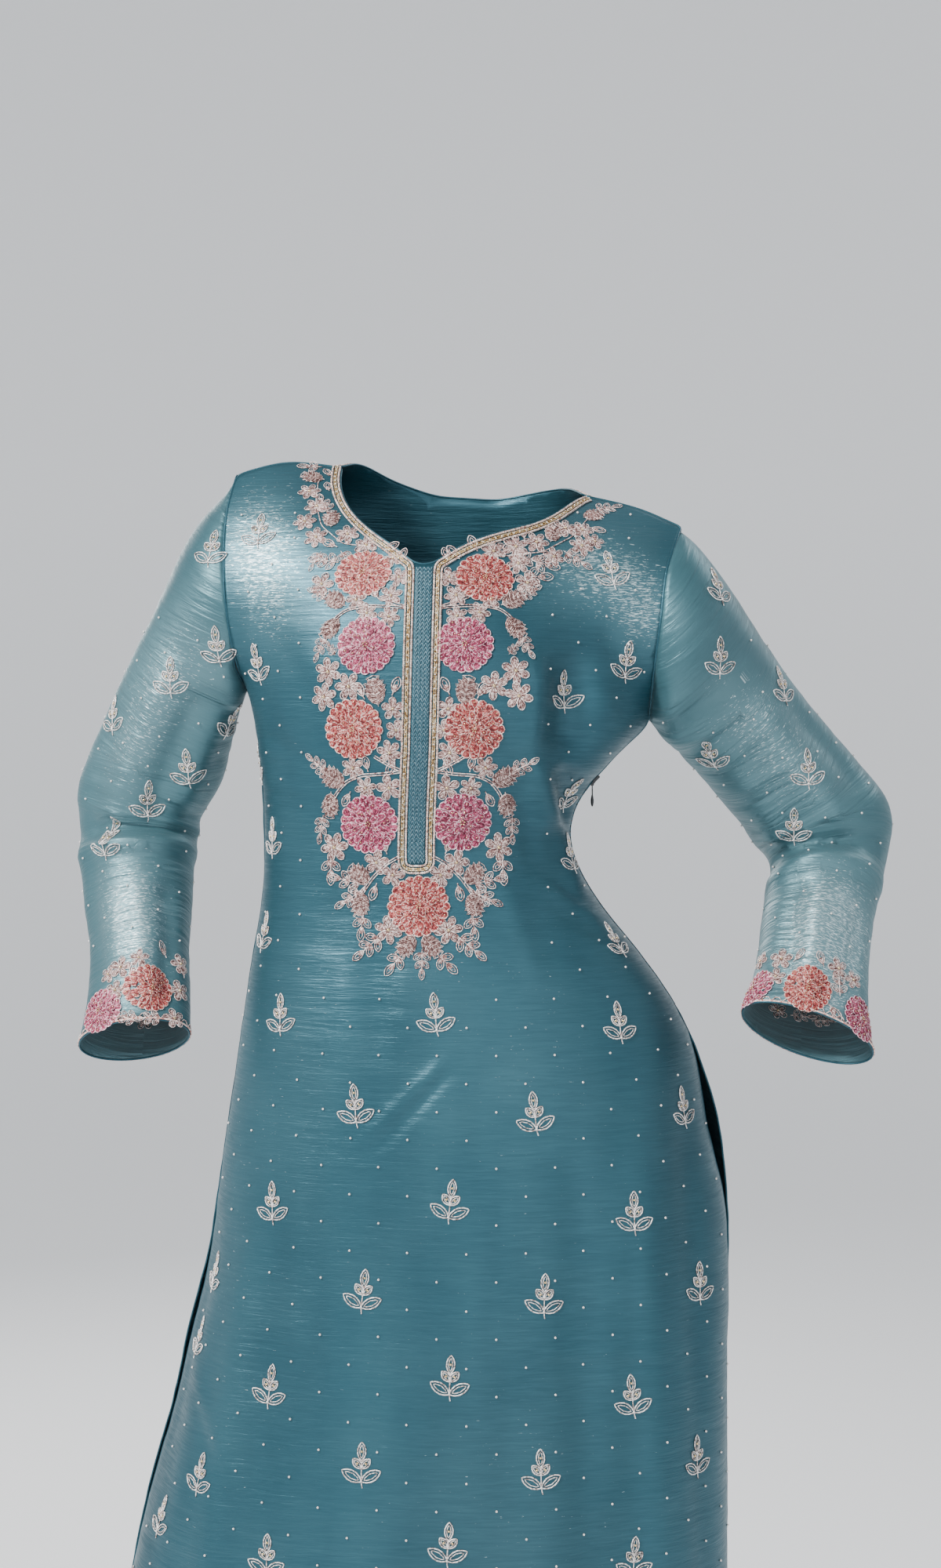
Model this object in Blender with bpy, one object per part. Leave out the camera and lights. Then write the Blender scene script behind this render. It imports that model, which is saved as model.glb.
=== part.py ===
# Salwar kameez suit, worn and hollow, as a Blender model.
# Metres, +Z up. The front faces -Y, and the wearer's right side is at -X.
# The origin lies between the shoulders, where the wearer carries the suit.
import math

import bmesh
import bpy
from mathutils import Matrix, Vector
from mathutils.bvhtree import BVHTree

CLOTH = 0.0012            # thickness of every sewn panel
SEAM = 0.0003             # gap between two pieces at a seam
SEAM_SHARE = 0.6          # share of that gap by which each piece's edge is drawn back
WELD_DISTANCE = 0.00005   # points closer than this belong to one seam point
LAID_GAP = 0.0005         # gap under a piece that lies on a curved panel
TRIM = 0.0011             # thickness of cord trim and strip
BELT = 0.0018             # thickness of the folded waistband

ARMPIT = -0.188           # height of the underarm line on the centre front
HEM = -1.112              # height of the kameez hem on the centre front
BODY_ROWS = 24            # rows of the body between underarm line and hem
ROW_CROWDING = 0.38       # how much closer the body's rows stand at the underarm line
YOKE_ROWS = 11            # rows of the yoke between underarm line and shoulder
SIDE_COLUMNS = 11         # columns from a side seam to the middle strip
SEAM_SQUARENESS = 0.85    # under 1 makes a section squarer than an ellipse
SEAM_HOLD = 3.0           # how quickly folds grow away from a side seam

STRIP_HALF = 0.0075       # half width of the placket strip
STRIP_END = -0.3177       # height of the strip's lower end
STRIP_RISE = 0.0004       # how far below the neck edge the strip starts
BACK_FLAT_HALF = 0.028    # half width of the flat middle of the back neck
BACK_FLAT_SHIFT = 0.030   # how far the middle of the back neck lies to the left of the front's
CORD_WIDTH = 0.0065       # width of the cord trim
CORD_EDGE = 0.0012        # cloth left showing outside the cord at the neck
CORD_GAP = 0.0007         # gap between the cord and the strip that it frames
CORD_REACH = 0.985        # share of a neck edge that its cord covers
ABOVE = 0.002             # height from which a laid piece is lowered onto a panel
EVENING_REACH = 0.004     # distance over which a laid piece's normals are evened
SAME_SIDE = 0.7           # least dot product of two normals that are evened together
CORNER_RADIUS = 0.005     # turn of the cord at the strip's lower end
NECK_STEPS = {"right": 16, "left": 18, "back": 12}
STRIP_STEPS = 16
CORNER_STEPS = 4
WIDE_BAND = 0.010         # width from which a laid band has a middle row of points
CORD_DROP = 0.012         # how far below the neck edges the straight runs of the cord start

ROWS_PER_SLEEVE = 17
ELBOW_ROW = {"right": 9, "left": 10}    # row where a sleeve's upper and lower solids meet
ROWS_PER_LEG = 13
COLUMNS_PER_LEG = 14
UPRIGHT_RINGS = 5         # rings below the armhole before a sleeve's rings lean with the arm
CROTCH = -0.73
PELVIS_END = -0.60
WAIST_ROWS = (8, 9)       # rows of the body that the waistband backs

CLEARANCE_STEPS = 5
PROBE = 0.010             # height from which the clearance under a laid piece is probed

SHARP_ANGLE = math.radians(50)

FLOWER_LOBES = 16
FLOWER_MIDDLE_RING = 0.55 # radius of the middle ring, as a share of the whole
FLOWER_SCALLOP = 0.07
FLOWER_RISE = 0.0016
FLOWER_EDGE = 0.0009

ZIP_HEIGHT = -0.2475      # height of the slider on the side seam
ZIP_ROW_DROP = 0.020      # how far below it that row of the body crosses the centre front
SLIDER_SIZE = (0.0022, 0.0044, 0.0070)
SLIDER_ROUNDING = 0.0004
SLIDER_STAND = 0.0006     # extra height of the slider over the seam, for the cloth's bulge
EAR_SIZE = (0.0016, 0.0008, 0.0040)
EAR_SHIFT = (0.0005, -0.0012)   # the ears' middle, outward and down from the slider's end
EAR_GAP = 0.0024          # clear width between the two ears
PIN_RADIUS = 0.00045
PIN_SHIFT = (0.0006, -0.0022)
EYE_RADIUS = 0.0015
EYE_BORE = 0.00085
ROD_SEGMENTS = 16
PULL_SIZE = (0.0010, 0.0046, 0.0150)
PULL_ROUNDING = 0.0003
PULL_DROP = 0.0036        # from the pin down to the top of the tab
PULL_NECK_LENGTH = 0.0030

TEAL = (0.020, 0.125, 0.165, 1.0)
SHEER_TEAL = (0.030, 0.150, 0.190, 1.0)
STRIP_TEAL = (0.018, 0.105, 0.140, 1.0)
CORD_GOLD = (0.550, 0.420, 0.250, 1.0)
CORAL = (0.640, 0.150, 0.120, 1.0)
PINK = (0.560, 0.110, 0.200, 1.0)
BLACK_METAL = (0.015, 0.017, 0.020, 1.0)

# The kameez: its outline, seen from the front, along each side seam.
RIGHT_OUTLINE = (         # z, x of the wearer's right seam
    (-0.176, -0.1800), (-0.223, -0.1700), (-0.254, -0.1675), (-0.294, -0.1660),
    (-0.320, -0.1650), (-0.353, -0.1670), (-0.386, -0.1740), (-0.452, -0.1830),
    (-0.505, -0.1910), (-0.571, -0.2010), (-0.610, -0.2060), (-0.650, -0.2130),
    (-0.716, -0.2320), (-0.769, -0.2410), (-0.810, -0.2540), (-0.855, -0.2660),
    (-0.914, -0.2780), (-1.115, -0.3050),
)
LEFT_OUTLINE = (          # z, x of the wearer's left seam
    (-0.204, 0.1550), (-0.216, 0.1400), (-0.234, 0.1240), (-0.254, 0.1040),
    (-0.274, 0.0920), (-0.296, 0.0840), (-0.320, 0.0930), (-0.353, 0.1120),
    (-0.386, 0.1380), (-0.412, 0.1610), (-0.452, 0.1850), (-0.505, 0.2060),
    (-0.571, 0.2200), (-0.610, 0.2230), (-0.716, 0.2220), (-0.914, 0.2220),
    (-1.115, 0.2260),
)
# Height on the centre front, its x, depths, how far the chest turns, tilt of the row.
SECTION_COLUMNS = ("centre", "front", "back", "turn", "tilt")
SECTIONS = (
    (-0.188, (-0.033, 0.117, 0.096, 0.010, -0.084)),
    (-0.230, (-0.034, 0.109, 0.090, 0.009, -0.020)),
    (-0.270, (-0.036, 0.101, 0.083, 0.008, 0.060)),
    (-0.306, (-0.037, 0.096, 0.079, 0.006, 0.094)),
    (-0.352, (-0.036, 0.097, 0.086, 0.004, 0.100)),
    (-0.400, (-0.031, 0.105, 0.102, 0.002, 0.100)),
    (-0.472, (-0.022, 0.116, 0.122, 0.000, 0.080)),
    (-0.588, (-0.011, 0.124, 0.133, 0.000, 0.050)),
    (-0.726, (-0.009, 0.130, 0.136, 0.000, 0.030)),
    (-0.860, (-0.010, 0.135, 0.139, 0.000, 0.020)),
    (-1.115, (-0.012, 0.145, 0.148, 0.000, 0.010)),
)
# Slits: the side, where it starts, and how far the front edge stands in from the back edge.
SLITS = {
    "right": {"start": -0.610, "opening": 0.012, "inset": 0.003, "dip": 0.002, "dip_at": -0.72},
    "left": {"start": -0.495, "opening": 0.014, "inset": 0.002, "dip": 0.010, "dip_at": -0.535},
}
SLIT_RUN = 0.30           # length over which a slit opens to its full width
SLIT_START_RUN = 0.02     # length over which its two edges first part
SLIT_START_GAP = 0.001
DIP_LENGTH = 0.045

# Yoke: armholes from underarm to shoulder tip, shoulder seams, and necklines.
ARMHOLES = {
    ("right", "front"): (
        (-0.180, 0.006, -0.176), (-0.187, -0.022, -0.162), (-0.192, -0.040, -0.132),
        (-0.196, -0.043, -0.098), (-0.198, -0.033, -0.062), (-0.197, -0.014, -0.026),
        (-0.191, 0.015, 0.008),
    ),
    ("right", "back"): (
        (-0.180, 0.006, -0.176), (-0.184, 0.036, -0.154), (-0.187, 0.054, -0.120),
        (-0.190, 0.057, -0.080), (-0.193, 0.048, -0.040), (-0.191, 0.015, 0.008),
    ),
    ("left", "front"): (
        (0.155, -0.009, -0.204), (0.157, -0.038, -0.176), (0.159, -0.058, -0.146),
        (0.163, -0.062, -0.112), (0.167, -0.052, -0.080), (0.175, -0.036, -0.058),
        (0.182, -0.018, -0.040),
    ),
    ("left", "back"): (
        (0.155, -0.009, -0.204), (0.159, 0.014, -0.188), (0.166, 0.032, -0.152),
        (0.172, 0.034, -0.116), (0.179, 0.020, -0.078), (0.182, -0.018, -0.040),
    ),
}
SHOULDER_SEAMS = {
    "right": ((-0.191, 0.015, 0.008), (-0.150, 0.016, 0.018), (-0.102, 0.013, 0.013)),
    "left": ((0.182, -0.018, -0.040), (0.146, -0.010, -0.024), (0.101, -0.009, -0.013)),
}
# The neck edge from the flat middle to the neck corner.
NECKLINES = {
    ("right", "front"): (
        (-0.0385, -0.088, -0.0774), (-0.050, -0.080, -0.0655), (-0.075, -0.058, -0.0475),
        (-0.098, -0.025, -0.0200), (-0.1035, -0.005, -0.0015), (-0.102, 0.013, 0.013),
    ),
    ("left", "front"): (
        (-0.0225, -0.088, -0.0770), (-0.0035, -0.083, -0.0625), (0.033, -0.073, -0.0490),
        (0.069, -0.051, -0.0380), (0.085, -0.033, -0.0250), (0.101, -0.009, -0.013),
    ),
    ("right", "back"): (
        (-0.024, 0.084, -0.002), (-0.062, 0.070, 0.010), (-0.089, 0.040, 0.021),
        (-0.102, 0.013, 0.013),
    ),
    ("left", "back"): (
        (0.032, 0.080, -0.006), (0.066, 0.062, -0.001), (0.090, 0.028, -0.002),
        (0.101, -0.009, -0.013),
    ),
}
FLAT_ROWS = {"front": 4, "back": 6}     # yoke rows below the flat middle of the neck
FLAT_COLUMNS = {"front": 2, "back": 4}
CHEST_BULGE = {"front": 0.007, "back": 0.012}
UNDERARM_TURN = 0.60      # part of the underarm row, in radians, that ends at the armhole
UNDERARM_REACH = 0.35     # share of the yoke's height over which that part is taken away
BUST_FULLNESS = ((-0.108, -0.150), (0.050, -0.165))
BUST_RISE = 0.007
BUST_RADIUS = 0.045
EDGE_FADE = 0.3           # share of the bust's rise that each column in from the armhole adds
SMOOTHING_PASSES = 3
SMOOTHED_ROWS = 3         # rows below the underarm line that are smoothed with the yoke

# Large folds. Each runs from its upper to its lower end. A hem fold grows all the way down.
FOLD_COLUMNS = ("panel", "x_top", "z_top", "x_low", "z_low", "width", "depth", "to_hem")
FOLDS = (
    ("front", 0.048, -0.215, 0.074, -0.318, 0.014, 0.008, False),
    ("front", 0.082, -0.220, 0.098, -0.300, 0.012, -0.007, False),
    ("front", -0.075, -0.300, -0.105, -0.400, 0.020, -0.003, False),
    ("front", -0.011, -0.460, -0.080, -0.540, 0.016, -0.003, False),
    ("front", -0.170, -0.640, -0.235, -1.115, 0.022, 0.011, True),
    ("front", -0.120, -0.680, -0.175, -1.115, 0.028, -0.009, True),
    ("front", -0.060, -0.680, -0.092, -1.115, 0.032, 0.009, True),
    ("front", 0.012, -0.700, 0.002, -1.115, 0.030, -0.008, True),
    ("front", 0.075, -0.620, 0.080, -1.115, 0.030, 0.009, True),
    ("front", 0.135, -0.600, 0.148, -1.115, 0.026, -0.008, True),
    ("front", 0.180, -0.560, 0.195, -1.115, 0.022, 0.007, True),
    ("back", -0.110, -0.240, -0.060, -0.330, 0.018, 0.005, False),
    ("back", 0.060, -0.235, 0.010, -0.320, 0.018, 0.005, False),
    ("back", -0.150, -0.560, -0.215, -1.115, 0.028, 0.011, True),
    ("back", -0.085, -0.600, -0.130, -1.115, 0.030, -0.010, True),
    ("back", -0.020, -0.620, -0.040, -1.115, 0.032, 0.010, True),
    ("back", 0.050, -0.600, 0.055, -1.115, 0.030, -0.010, True),
    ("back", 0.120, -0.560, 0.142, -1.115, 0.030, 0.011, True),
)

# Sleeves: the outer and inner edge of each ring, its depth position and half depth.
SLEEVE_COLUMNS = ("x_out", "z_out", "x_in", "z_in", "y", "half_depth")
SLEEVES = {
    "right": (
        (-0.229, -0.038, -0.189, -0.190, 0.012, 0.052),
        (-0.253, -0.091, -0.193, -0.200, 0.024, 0.051),
        (-0.278, -0.138, -0.198, -0.212, 0.034, 0.050),
        (-0.300, -0.182, -0.201, -0.226, 0.044, 0.052),
        (-0.322, -0.224, -0.208, -0.252, 0.054, 0.054),
        (-0.333, -0.258, -0.221, -0.277, 0.058, 0.054),
        (-0.331, -0.288, -0.232, -0.295, 0.054, 0.050),
        (-0.328, -0.322, -0.232, -0.324, 0.043, 0.048),
        (-0.322, -0.361, -0.232, -0.360, 0.026, 0.046),
        (-0.312, -0.397, -0.232, -0.393, 0.006, 0.044),
        (-0.311, -0.431, -0.228, -0.426, -0.018, 0.038),
        (-0.315, -0.471, -0.225, -0.458, -0.045, 0.030),
    ),
    "left": (
        (0.197, -0.055, 0.169, -0.216, -0.014, 0.054),
        (0.225, -0.091, 0.177, -0.223, -0.001, 0.053),
        (0.246, -0.121, 0.186, -0.229, 0.014, 0.052),
        (0.273, -0.158, 0.198, -0.239, 0.030, 0.052),
        (0.300, -0.189, 0.213, -0.256, 0.045, 0.054),
        (0.327, -0.219, 0.230, -0.276, 0.058, 0.055),
        (0.352, -0.246, 0.247, -0.294, 0.066, 0.056),
        (0.374, -0.275, 0.262, -0.314, 0.068, 0.054),
        (0.369, -0.312, 0.264, -0.336, 0.058, 0.050),
        (0.357, -0.348, 0.258, -0.362, 0.040, 0.048),
        (0.344, -0.393, 0.252, -0.395, 0.010, 0.045),
        (0.336, -0.437, 0.239, -0.426, -0.022, 0.038),
        (0.337, -0.479, 0.231, -0.439, -0.045, 0.030),
    ),
}
# Bends in a sleeve: row share down the arm, turn round it (0.5 is outer), spreads, depth.
BEND_COLUMNS = ("down", "round", "down_spread", "round_spread", "depth")
BENDS = {
    "right": (
        (0.50, 0.98, 0.035, 0.14, -0.007), (0.57, 0.97, 0.035, 0.14, 0.004),
        (0.42, 0.22, 0.030, 0.16, -0.004), (0.16, 0.14, 0.030, 0.12, -0.004),
    ),
    "left": (
        (0.66, 0.02, 0.030, 0.14, -0.008), (0.59, 0.03, 0.035, 0.14, 0.004),
        (0.54, 0.24, 0.030, 0.16, -0.004), (0.20, 0.18, 0.030, 0.12, -0.004),
    ),
}

# Middle line of the front above the waist: height, x.
CENTRE_FRONT = (
    (-0.077, (-0.0305,)), (-0.188, (-0.033,)), (-0.230, (-0.034,)), (-0.270, (-0.036,)),
    (-0.306, (-0.037,)), (-0.352, (-0.036,)),
)

# Flower patches on the front: colour, centre, half width and half height.
FLOWER_COLUMNS = ("colour", "x", "z", "half_width", "half_height")
FLOWERS = (
    (CORAL, -0.0790, -0.0880, 0.0215, 0.0165),
    (CORAL, 0.0175, -0.0885, 0.0215, 0.0165),
    (PINK, -0.0765, -0.1427, 0.0235, 0.0220),
    (PINK, 0.0035, -0.1430, 0.0205, 0.0215),
    (CORAL, -0.0870, -0.2097, 0.0240, 0.0235),
    (CORAL, 0.0095, -0.2105, 0.0228, 0.0228),
    (PINK, -0.0750, -0.2862, 0.0228, 0.0228),
    (PINK, 0.0015, -0.2843, 0.0225, 0.0226),
    (CORAL, -0.0350, -0.3530, 0.0245, 0.0228),
)

# Salwar legs below the crotch: height, distance of the leg's centre from the middle, half sizes.
LEG_COLUMNS = ("offset", "half_width", "half_depth")
LEG_SECTIONS = (
    (CROTCH, (0.098, 0.098, 0.106)),
    (-0.80, (0.103, 0.093, 0.100)),
    (-1.00, (0.118, 0.084, 0.087)),
    (-1.20, (0.132, 0.077, 0.077)),
    (-1.40, (0.142, 0.071, 0.067)),
)
LEG_INSETS = ((-0.44, 0.0012), (-0.49, 0.007), (-0.60, 0.014))


def smoothstep(share):
    share = max(0.0, min(1.0, share))
    return share * share * (3.0 - 2.0 * share)


def hermite(before, start, end, after, share, spans):
    """Cubic between start and end, with slopes from the neighbouring points."""
    left_span, span, right_span = spans
    rise = (end - start) / span
    rise_before = (start - before) / left_span
    rise_after = (after - end) / right_span
    slope_start = (rise * left_span + rise_before * span) / (left_span + span)
    slope_end = (rise_after * span + rise * right_span) / (span + right_span)
    s2 = share * share
    s3 = s2 * share
    return (
        start * (2 * s3 - 3 * s2 + 1)
        + slope_start * (span * (s3 - 2 * s2 + share))
        + end * (3 * s2 - 2 * s3)
        + slope_end * (span * (s3 - s2))
    )


def through(keys, values, key):
    """Smooth curve through values at rising or falling keys; values are numbers or Vectors."""
    sign = 1.0 if keys[-1] > keys[0] else -1.0
    place = sign * key
    places = [sign * k for k in keys]
    if place <= places[0]:
        return values[0]
    if place >= places[-1]:
        return values[-1]
    i = max(n for n in range(len(places) - 1) if places[n] <= place)
    span = places[i + 1] - places[i]
    share = (place - places[i]) / span
    has_before = i > 0
    has_after = i + 2 < len(places)
    before = values[i - 1] if has_before else values[i] * 2 - values[i + 1]
    after = values[i + 2] if has_after else values[i + 1] * 2 - values[i]
    left_span = places[i] - places[i - 1] if has_before else span
    right_span = places[i + 2] - places[i + 1] if has_after else span
    return hermite(before, values[i], values[i + 1], after, share, (left_span, span, right_span))


def path(points):
    """Function of 0..1 along a smooth curve through 3-D points, by length."""
    points = [Vector(p) for p in points]
    lengths = [0.0]
    for a, b in zip(points, points[1:]):
        lengths.append(lengths[-1] + (b - a).length)
    shares = [length / lengths[-1] for length in lengths]
    return lambda share: through(shares, points, share)


def table_at(table, names, key):
    keys = [row[0] for row in table]
    return {
        name: through(keys, [row[1][n] for row in table], key) for n, name in enumerate(names)
    }


def outline_x(side, z):
    table = RIGHT_OUTLINE if side == "right" else LEFT_OUTLINE
    return through([row[0] for row in table], [row[1] for row in table], z)


def slit(side, z):
    """How far an edge has opened at height z, and how far the front edge stands in."""
    shape = SLITS[side]
    run = smoothstep((shape["start"] - z) / SLIT_RUN)
    started = smoothstep((shape["start"] - z) / SLIT_START_RUN)
    dip = shape["dip"] * math.exp(-(((z - shape["dip_at"]) / DIP_LENGTH) ** 2))
    gap = shape["opening"] * run + SLIT_START_GAP * started
    return gap, started * (shape["inset"] + dip)


def body_row(height):
    """Everything that one slanted row of the body needs."""
    row = table_at(SECTIONS, SECTION_COLUMNS, height)
    for side in ("right", "left"):
        z = height
        for _ in range(4):
            z = height + row["tilt"] * (outline_x(side, z) - row["centre"])
        row[side] = (outline_x(side, z), z)
    row["height"] = height
    return row


def row_height(j):
    """Height on the centre front of row j; the rows stand closer towards the underarm."""
    down = 1.0 - j / BODY_ROWS
    return ARMPIT + (HEM - ARMPIT) * (down - ROW_CROWDING * down * (1.0 - down))


def fold_push(panel, x, z):
    push = 0.0
    for values in FOLDS:
        fold = dict(zip(FOLD_COLUMNS, values))
        if fold["panel"] != panel:
            continue
        along = Vector((fold["x_low"] - fold["x_top"], fold["z_low"] - fold["z_top"]))
        offset = Vector((x - fold["x_top"], z - fold["z_top"]))
        share = offset.dot(along) / along.length_squared
        across = (offset - along * share).length / fold["width"]
        if fold["to_hem"]:
            strength = smoothstep(share)
        else:
            strength = math.sin(math.pi * max(0.0, min(1.0, share)))
        push += fold["depth"] * strength * math.exp(-across * across)
    return push


def bust_push(x, z):
    return sum(
        BUST_RISE * math.exp(-((x - bx) ** 2 + (z - bz) ** 2) / BUST_RADIUS**2)
        for bx, bz in BUST_FULLNESS
    )


def body_point(row, angle, panel, inset=0.0):
    """Point on one row: angle 0 is the right seam and pi the left seam, seen on either panel."""
    outward = -1.0 if panel == "front" else 1.0
    share = (1.0 - math.cos(angle)) / 2.0
    open_right, in_right = slit("right", row["right"][1])
    open_left, in_left = slit("left", row["left"][1])
    x_right, x_left = row["right"][0] + inset, row["left"][0] - inset
    if panel == "front":
        x_right, x_left = x_right + in_right, x_left - in_left
    x = x_right + (x_left - x_right) * share
    z = row["height"] + row["tilt"] * (x - row["centre"])
    base = row["turn"] * (1.0 - 2.0 * share)
    opening = open_right * (1.0 - share) + open_left * share
    roundness = math.sin(angle) ** SEAM_SQUARENESS if 0.0 < angle < math.pi else 0.0
    depth = (row[panel] - inset) * roundness + opening
    free = min(1.0, SEAM_HOLD * math.sin(angle))
    depth += free * fold_push(panel, x, z)
    if panel == "front":
        depth += free * bust_push(x, z)
    return Vector((x, base + outward * depth, z))


def angle_at(row, x, panel):
    """The angle at which a row reaches x."""
    right = body_point(row, 0.0, panel).x
    left = body_point(row, math.pi, panel).x
    return math.acos(max(-1.0, min(1.0, 1.0 - 2.0 * (x - right) / (left - right))))


def flat_half(panel):
    return STRIP_HALF if panel == "front" else BACK_FLAT_HALF


def row_angles(row, panel):
    """Angles of all the columns of one row, with the flat middle between the two sides."""
    half = flat_half(panel)
    middle = row["centre"] if panel == "front" else row["centre"] + BACK_FLAT_SHIFT
    first = angle_at(row, middle - half, panel)
    last = angle_at(row, middle + half, panel)
    count = FLAT_COLUMNS[panel]
    angles = [first * i / SIDE_COLUMNS for i in range(SIDE_COLUMNS + 1)]
    angles += [first + (last - first) * i / count for i in range(1, count)]
    angles += [last + (math.pi - last) * i / SIDE_COLUMNS for i in range(SIDE_COLUMNS + 1)]
    return angles


def inner_edge(start, neckline, bulge, outward):
    """Yoke edge: up the flat middle from the underarm row, then along the neck edge."""
    low, high = Vector(start), Vector(neckline[0])
    neck = path(neckline)

    def point(row, flat_rows):
        if row <= flat_rows:
            share = row / flat_rows
            swell = outward * bulge * math.sin(math.pi * share)
            return low.lerp(high, share) + Vector((0.0, swell, 0.0))
        return neck((row - flat_rows) / (YOKE_ROWS - flat_rows))

    return point


def coons(bottom, top, left, right, u, v):
    """Patch between four edges that meet at their corners."""
    ruled = bottom(u, v) * (1 - v) + top(u) * v + left(v) * (1 - u) + right(v) * u
    corners = (
        bottom(0) * ((1 - u) * (1 - v))
        + bottom(1) * (u * (1 - v))
        + top(0) * ((1 - u) * v)
        + top(1) * (u * v)
    )
    return ruled - corners


def kameez_panel(panel):
    """Grid of points of the front or back, from the hem up to the shoulder seams."""
    points = {}
    for j in range(BODY_ROWS + 1):
        row = body_row(row_height(j))
        for i, angle in enumerate(row_angles(row, panel)):
            points[i, j] = body_point(row, angle, panel)

    outward = -1.0 if panel == "front" else 1.0
    row = body_row(ARMPIT)
    angles = row_angles(row, panel)
    last = len(angles) - 1
    flat_rows = FLAT_ROWS[panel]
    for side in ("right", "left"):
        join = SIDE_COLUMNS if side == "right" else last - SIDE_COLUMNS
        edge_angle = 0.0 if side == "right" else math.pi
        join_angle = angles[join]
        start = body_point(row, join_angle, panel)
        armhole = path(ARMHOLES[side, panel])
        seam = path(SHOULDER_SEAMS[side])
        inner = inner_edge(start, NECKLINES[side, panel], CHEST_BULGE[panel], outward)
        foot = body_point(row, edge_angle, panel)
        shift = foot - armhole(0.0)

        def bottom(u, v=0.0):
            """Underarm row; higher up it starts past the side, which the armhole takes away."""
            past = UNDERARM_TURN * smoothstep(v / UNDERARM_REACH)
            first_angle = edge_angle + past * (1.0 if side == "right" else -1.0)
            place = body_point(row, first_angle + (join_angle - first_angle) * u, panel)
            return place + (foot - body_point(row, first_angle, panel)) * (1.0 - u)

        def left(v):
            return armhole(v) + shift * (1.0 - v) ** 4

        def right(v):
            return inner(v * YOKE_ROWS, flat_rows)

        for j in range(1, YOKE_ROWS + 1):
            for n in range(SIDE_COLUMNS + 1):
                point = coons(bottom, seam, left, right, n / SIDE_COLUMNS, j / YOKE_ROWS)
                i = n if side == "right" else last - n
                points[i, BODY_ROWS + j] = point

    first, final = SIDE_COLUMNS, last - SIDE_COLUMNS
    for j in range(BODY_ROWS + 1, BODY_ROWS + flat_rows + 1):
        for i in range(first + 1, final):
            share = (i - first) / (final - first)
            points[i, j] = points[first, j].lerp(points[final, j], share)
    if panel == "front":
        for (i, j), point in points.items():
            if BODY_ROWS < j < BODY_ROWS + YOKE_ROWS and 0 < i < last:
                fade = 1.0 - (j - BODY_ROWS) / YOKE_ROWS
                inward = min(1.0, EDGE_FADE * min(i, last - i))
                point.y -= fade * inward * bust_push(point.x, point.z)

    smooth_columns(points, last, flat_rows)
    reverse = panel == "back"
    return {"points": points, "cells": grid_cells(points, reverse), "last": last}


def smooth_columns(points, last, flat_rows):
    """Evens each inner point with those above and below it, so no crease crosses the chest."""
    neck_columns = (SIDE_COLUMNS, last - SIDE_COLUMNS)
    for _ in range(SMOOTHING_PASSES):
        before = {key: point.copy() for key, point in points.items()}
        for (i, j), point in points.items():
            above, below = before.get((i, j + 1)), before.get((i, j - 1))
            near_yoke = BODY_ROWS - SMOOTHED_ROWS < j < BODY_ROWS + YOKE_ROWS
            on_neck = i in neck_columns and j >= BODY_ROWS + flat_rows
            if above and below and near_yoke and 0 < i < last and not on_neck:
                point.xyz = before[i, j] * 0.5 + (above + below) * 0.25


def grid_cells(points, reverse, wrap=None):
    """Four-cornered cells of a grid; wrap joins the last column to the first."""
    cells = []
    for i, j in points:
        right = (i + 1) % wrap if wrap else i + 1
        cell = [(i, j), (right, j), (right, j + 1), (i, j + 1)]
        if all(key in points for key in cell):
            cells.append(cell[::-1] if reverse else cell)
    return cells


def sleeve_surface(side, body):
    """Loft from the armhole loop, through the rings of the arm, to the open cuff."""
    rings = [armhole_loop(side, body)]
    rows = [dict(zip(SLEEVE_COLUMNS, row)) for row in SLEEVES[side]]
    centres = [
        Vector(((r["x_out"] + r["x_in"]) / 2, r["y"], (r["z_out"] + r["z_in"]) / 2)) for r in rows
    ]
    loop_size = len(rings[0])
    for n, row in enumerate(rows):
        outer = Vector((row["x_out"], row["y"], row["z_out"]))
        inner = Vector((row["x_in"], row["y"], row["z_in"]))
        ahead = centres[min(n + 1, len(rows) - 1)] - centres[max(n - 1, 0)]
        across = (inner - outer) / 2
        ahead.y *= smoothstep(n / UPRIGHT_RINGS)
        forward = across.cross(ahead).normalized()
        if forward.y > 0:
            forward.negate()
        ring = []
        for m in range(loop_size):
            turn = 2 * math.pi * m / loop_size
            depth = forward * (row["half_depth"] * math.sin(turn))
            ring.append(centres[n] + across * math.cos(turn) + depth)
        rings.append(ring)

    stations = list(range(len(rings)))
    points = {}
    for m in range(loop_size):
        column = [ring[m] for ring in rings]
        for k in range(ROWS_PER_SLEEVE + 1):
            share = k / ROWS_PER_SLEEVE
            points[m, k] = through(stations, column, share * stations[-1]).copy()
    middle_of = {
        k: sum((points[m, k] for m in range(loop_size)), Vector()) / loop_size
        for k in range(ROWS_PER_SLEEVE + 1)
    }
    for (m, k), point in points.items():
        if k > 0:
            push = bend_push(side, k / ROWS_PER_SLEEVE, m / loop_size)
            point += (point - middle_of[k]).normalized() * push
    return {"points": points, "cells": grid_cells(points, side == "left", wrap=loop_size)}


def sleeve_halves(surface, elbow):
    """The upper and lower part of a sleeve, which share the ring of points at the elbow."""
    halves = {}
    last = max(k for m, k in surface["points"])
    for half, (first, end) in {"upper": (0, elbow), "lower": (elbow, last)}.items():
        points = {
            key: point.copy() for key, point in surface["points"].items() if first <= key[1] <= end
        }
        cells = [cell for cell in surface["cells"] if all(key in points for key in cell)]
        halves[half] = {"points": points, "cells": cells}
    return halves


def bend_push(side, down, turn):
    push = 0.0
    for values in BENDS[side]:
        bend = dict(zip(BEND_COLUMNS, values))
        round_gap = abs(turn - bend["round"])
        round_gap = min(round_gap, 1.0 - round_gap) / bend["round_spread"]
        down_gap = (down - bend["down"]) / bend["down_spread"]
        push += bend["depth"] * math.exp(-round_gap**2 - down_gap**2)
    return push


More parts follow.
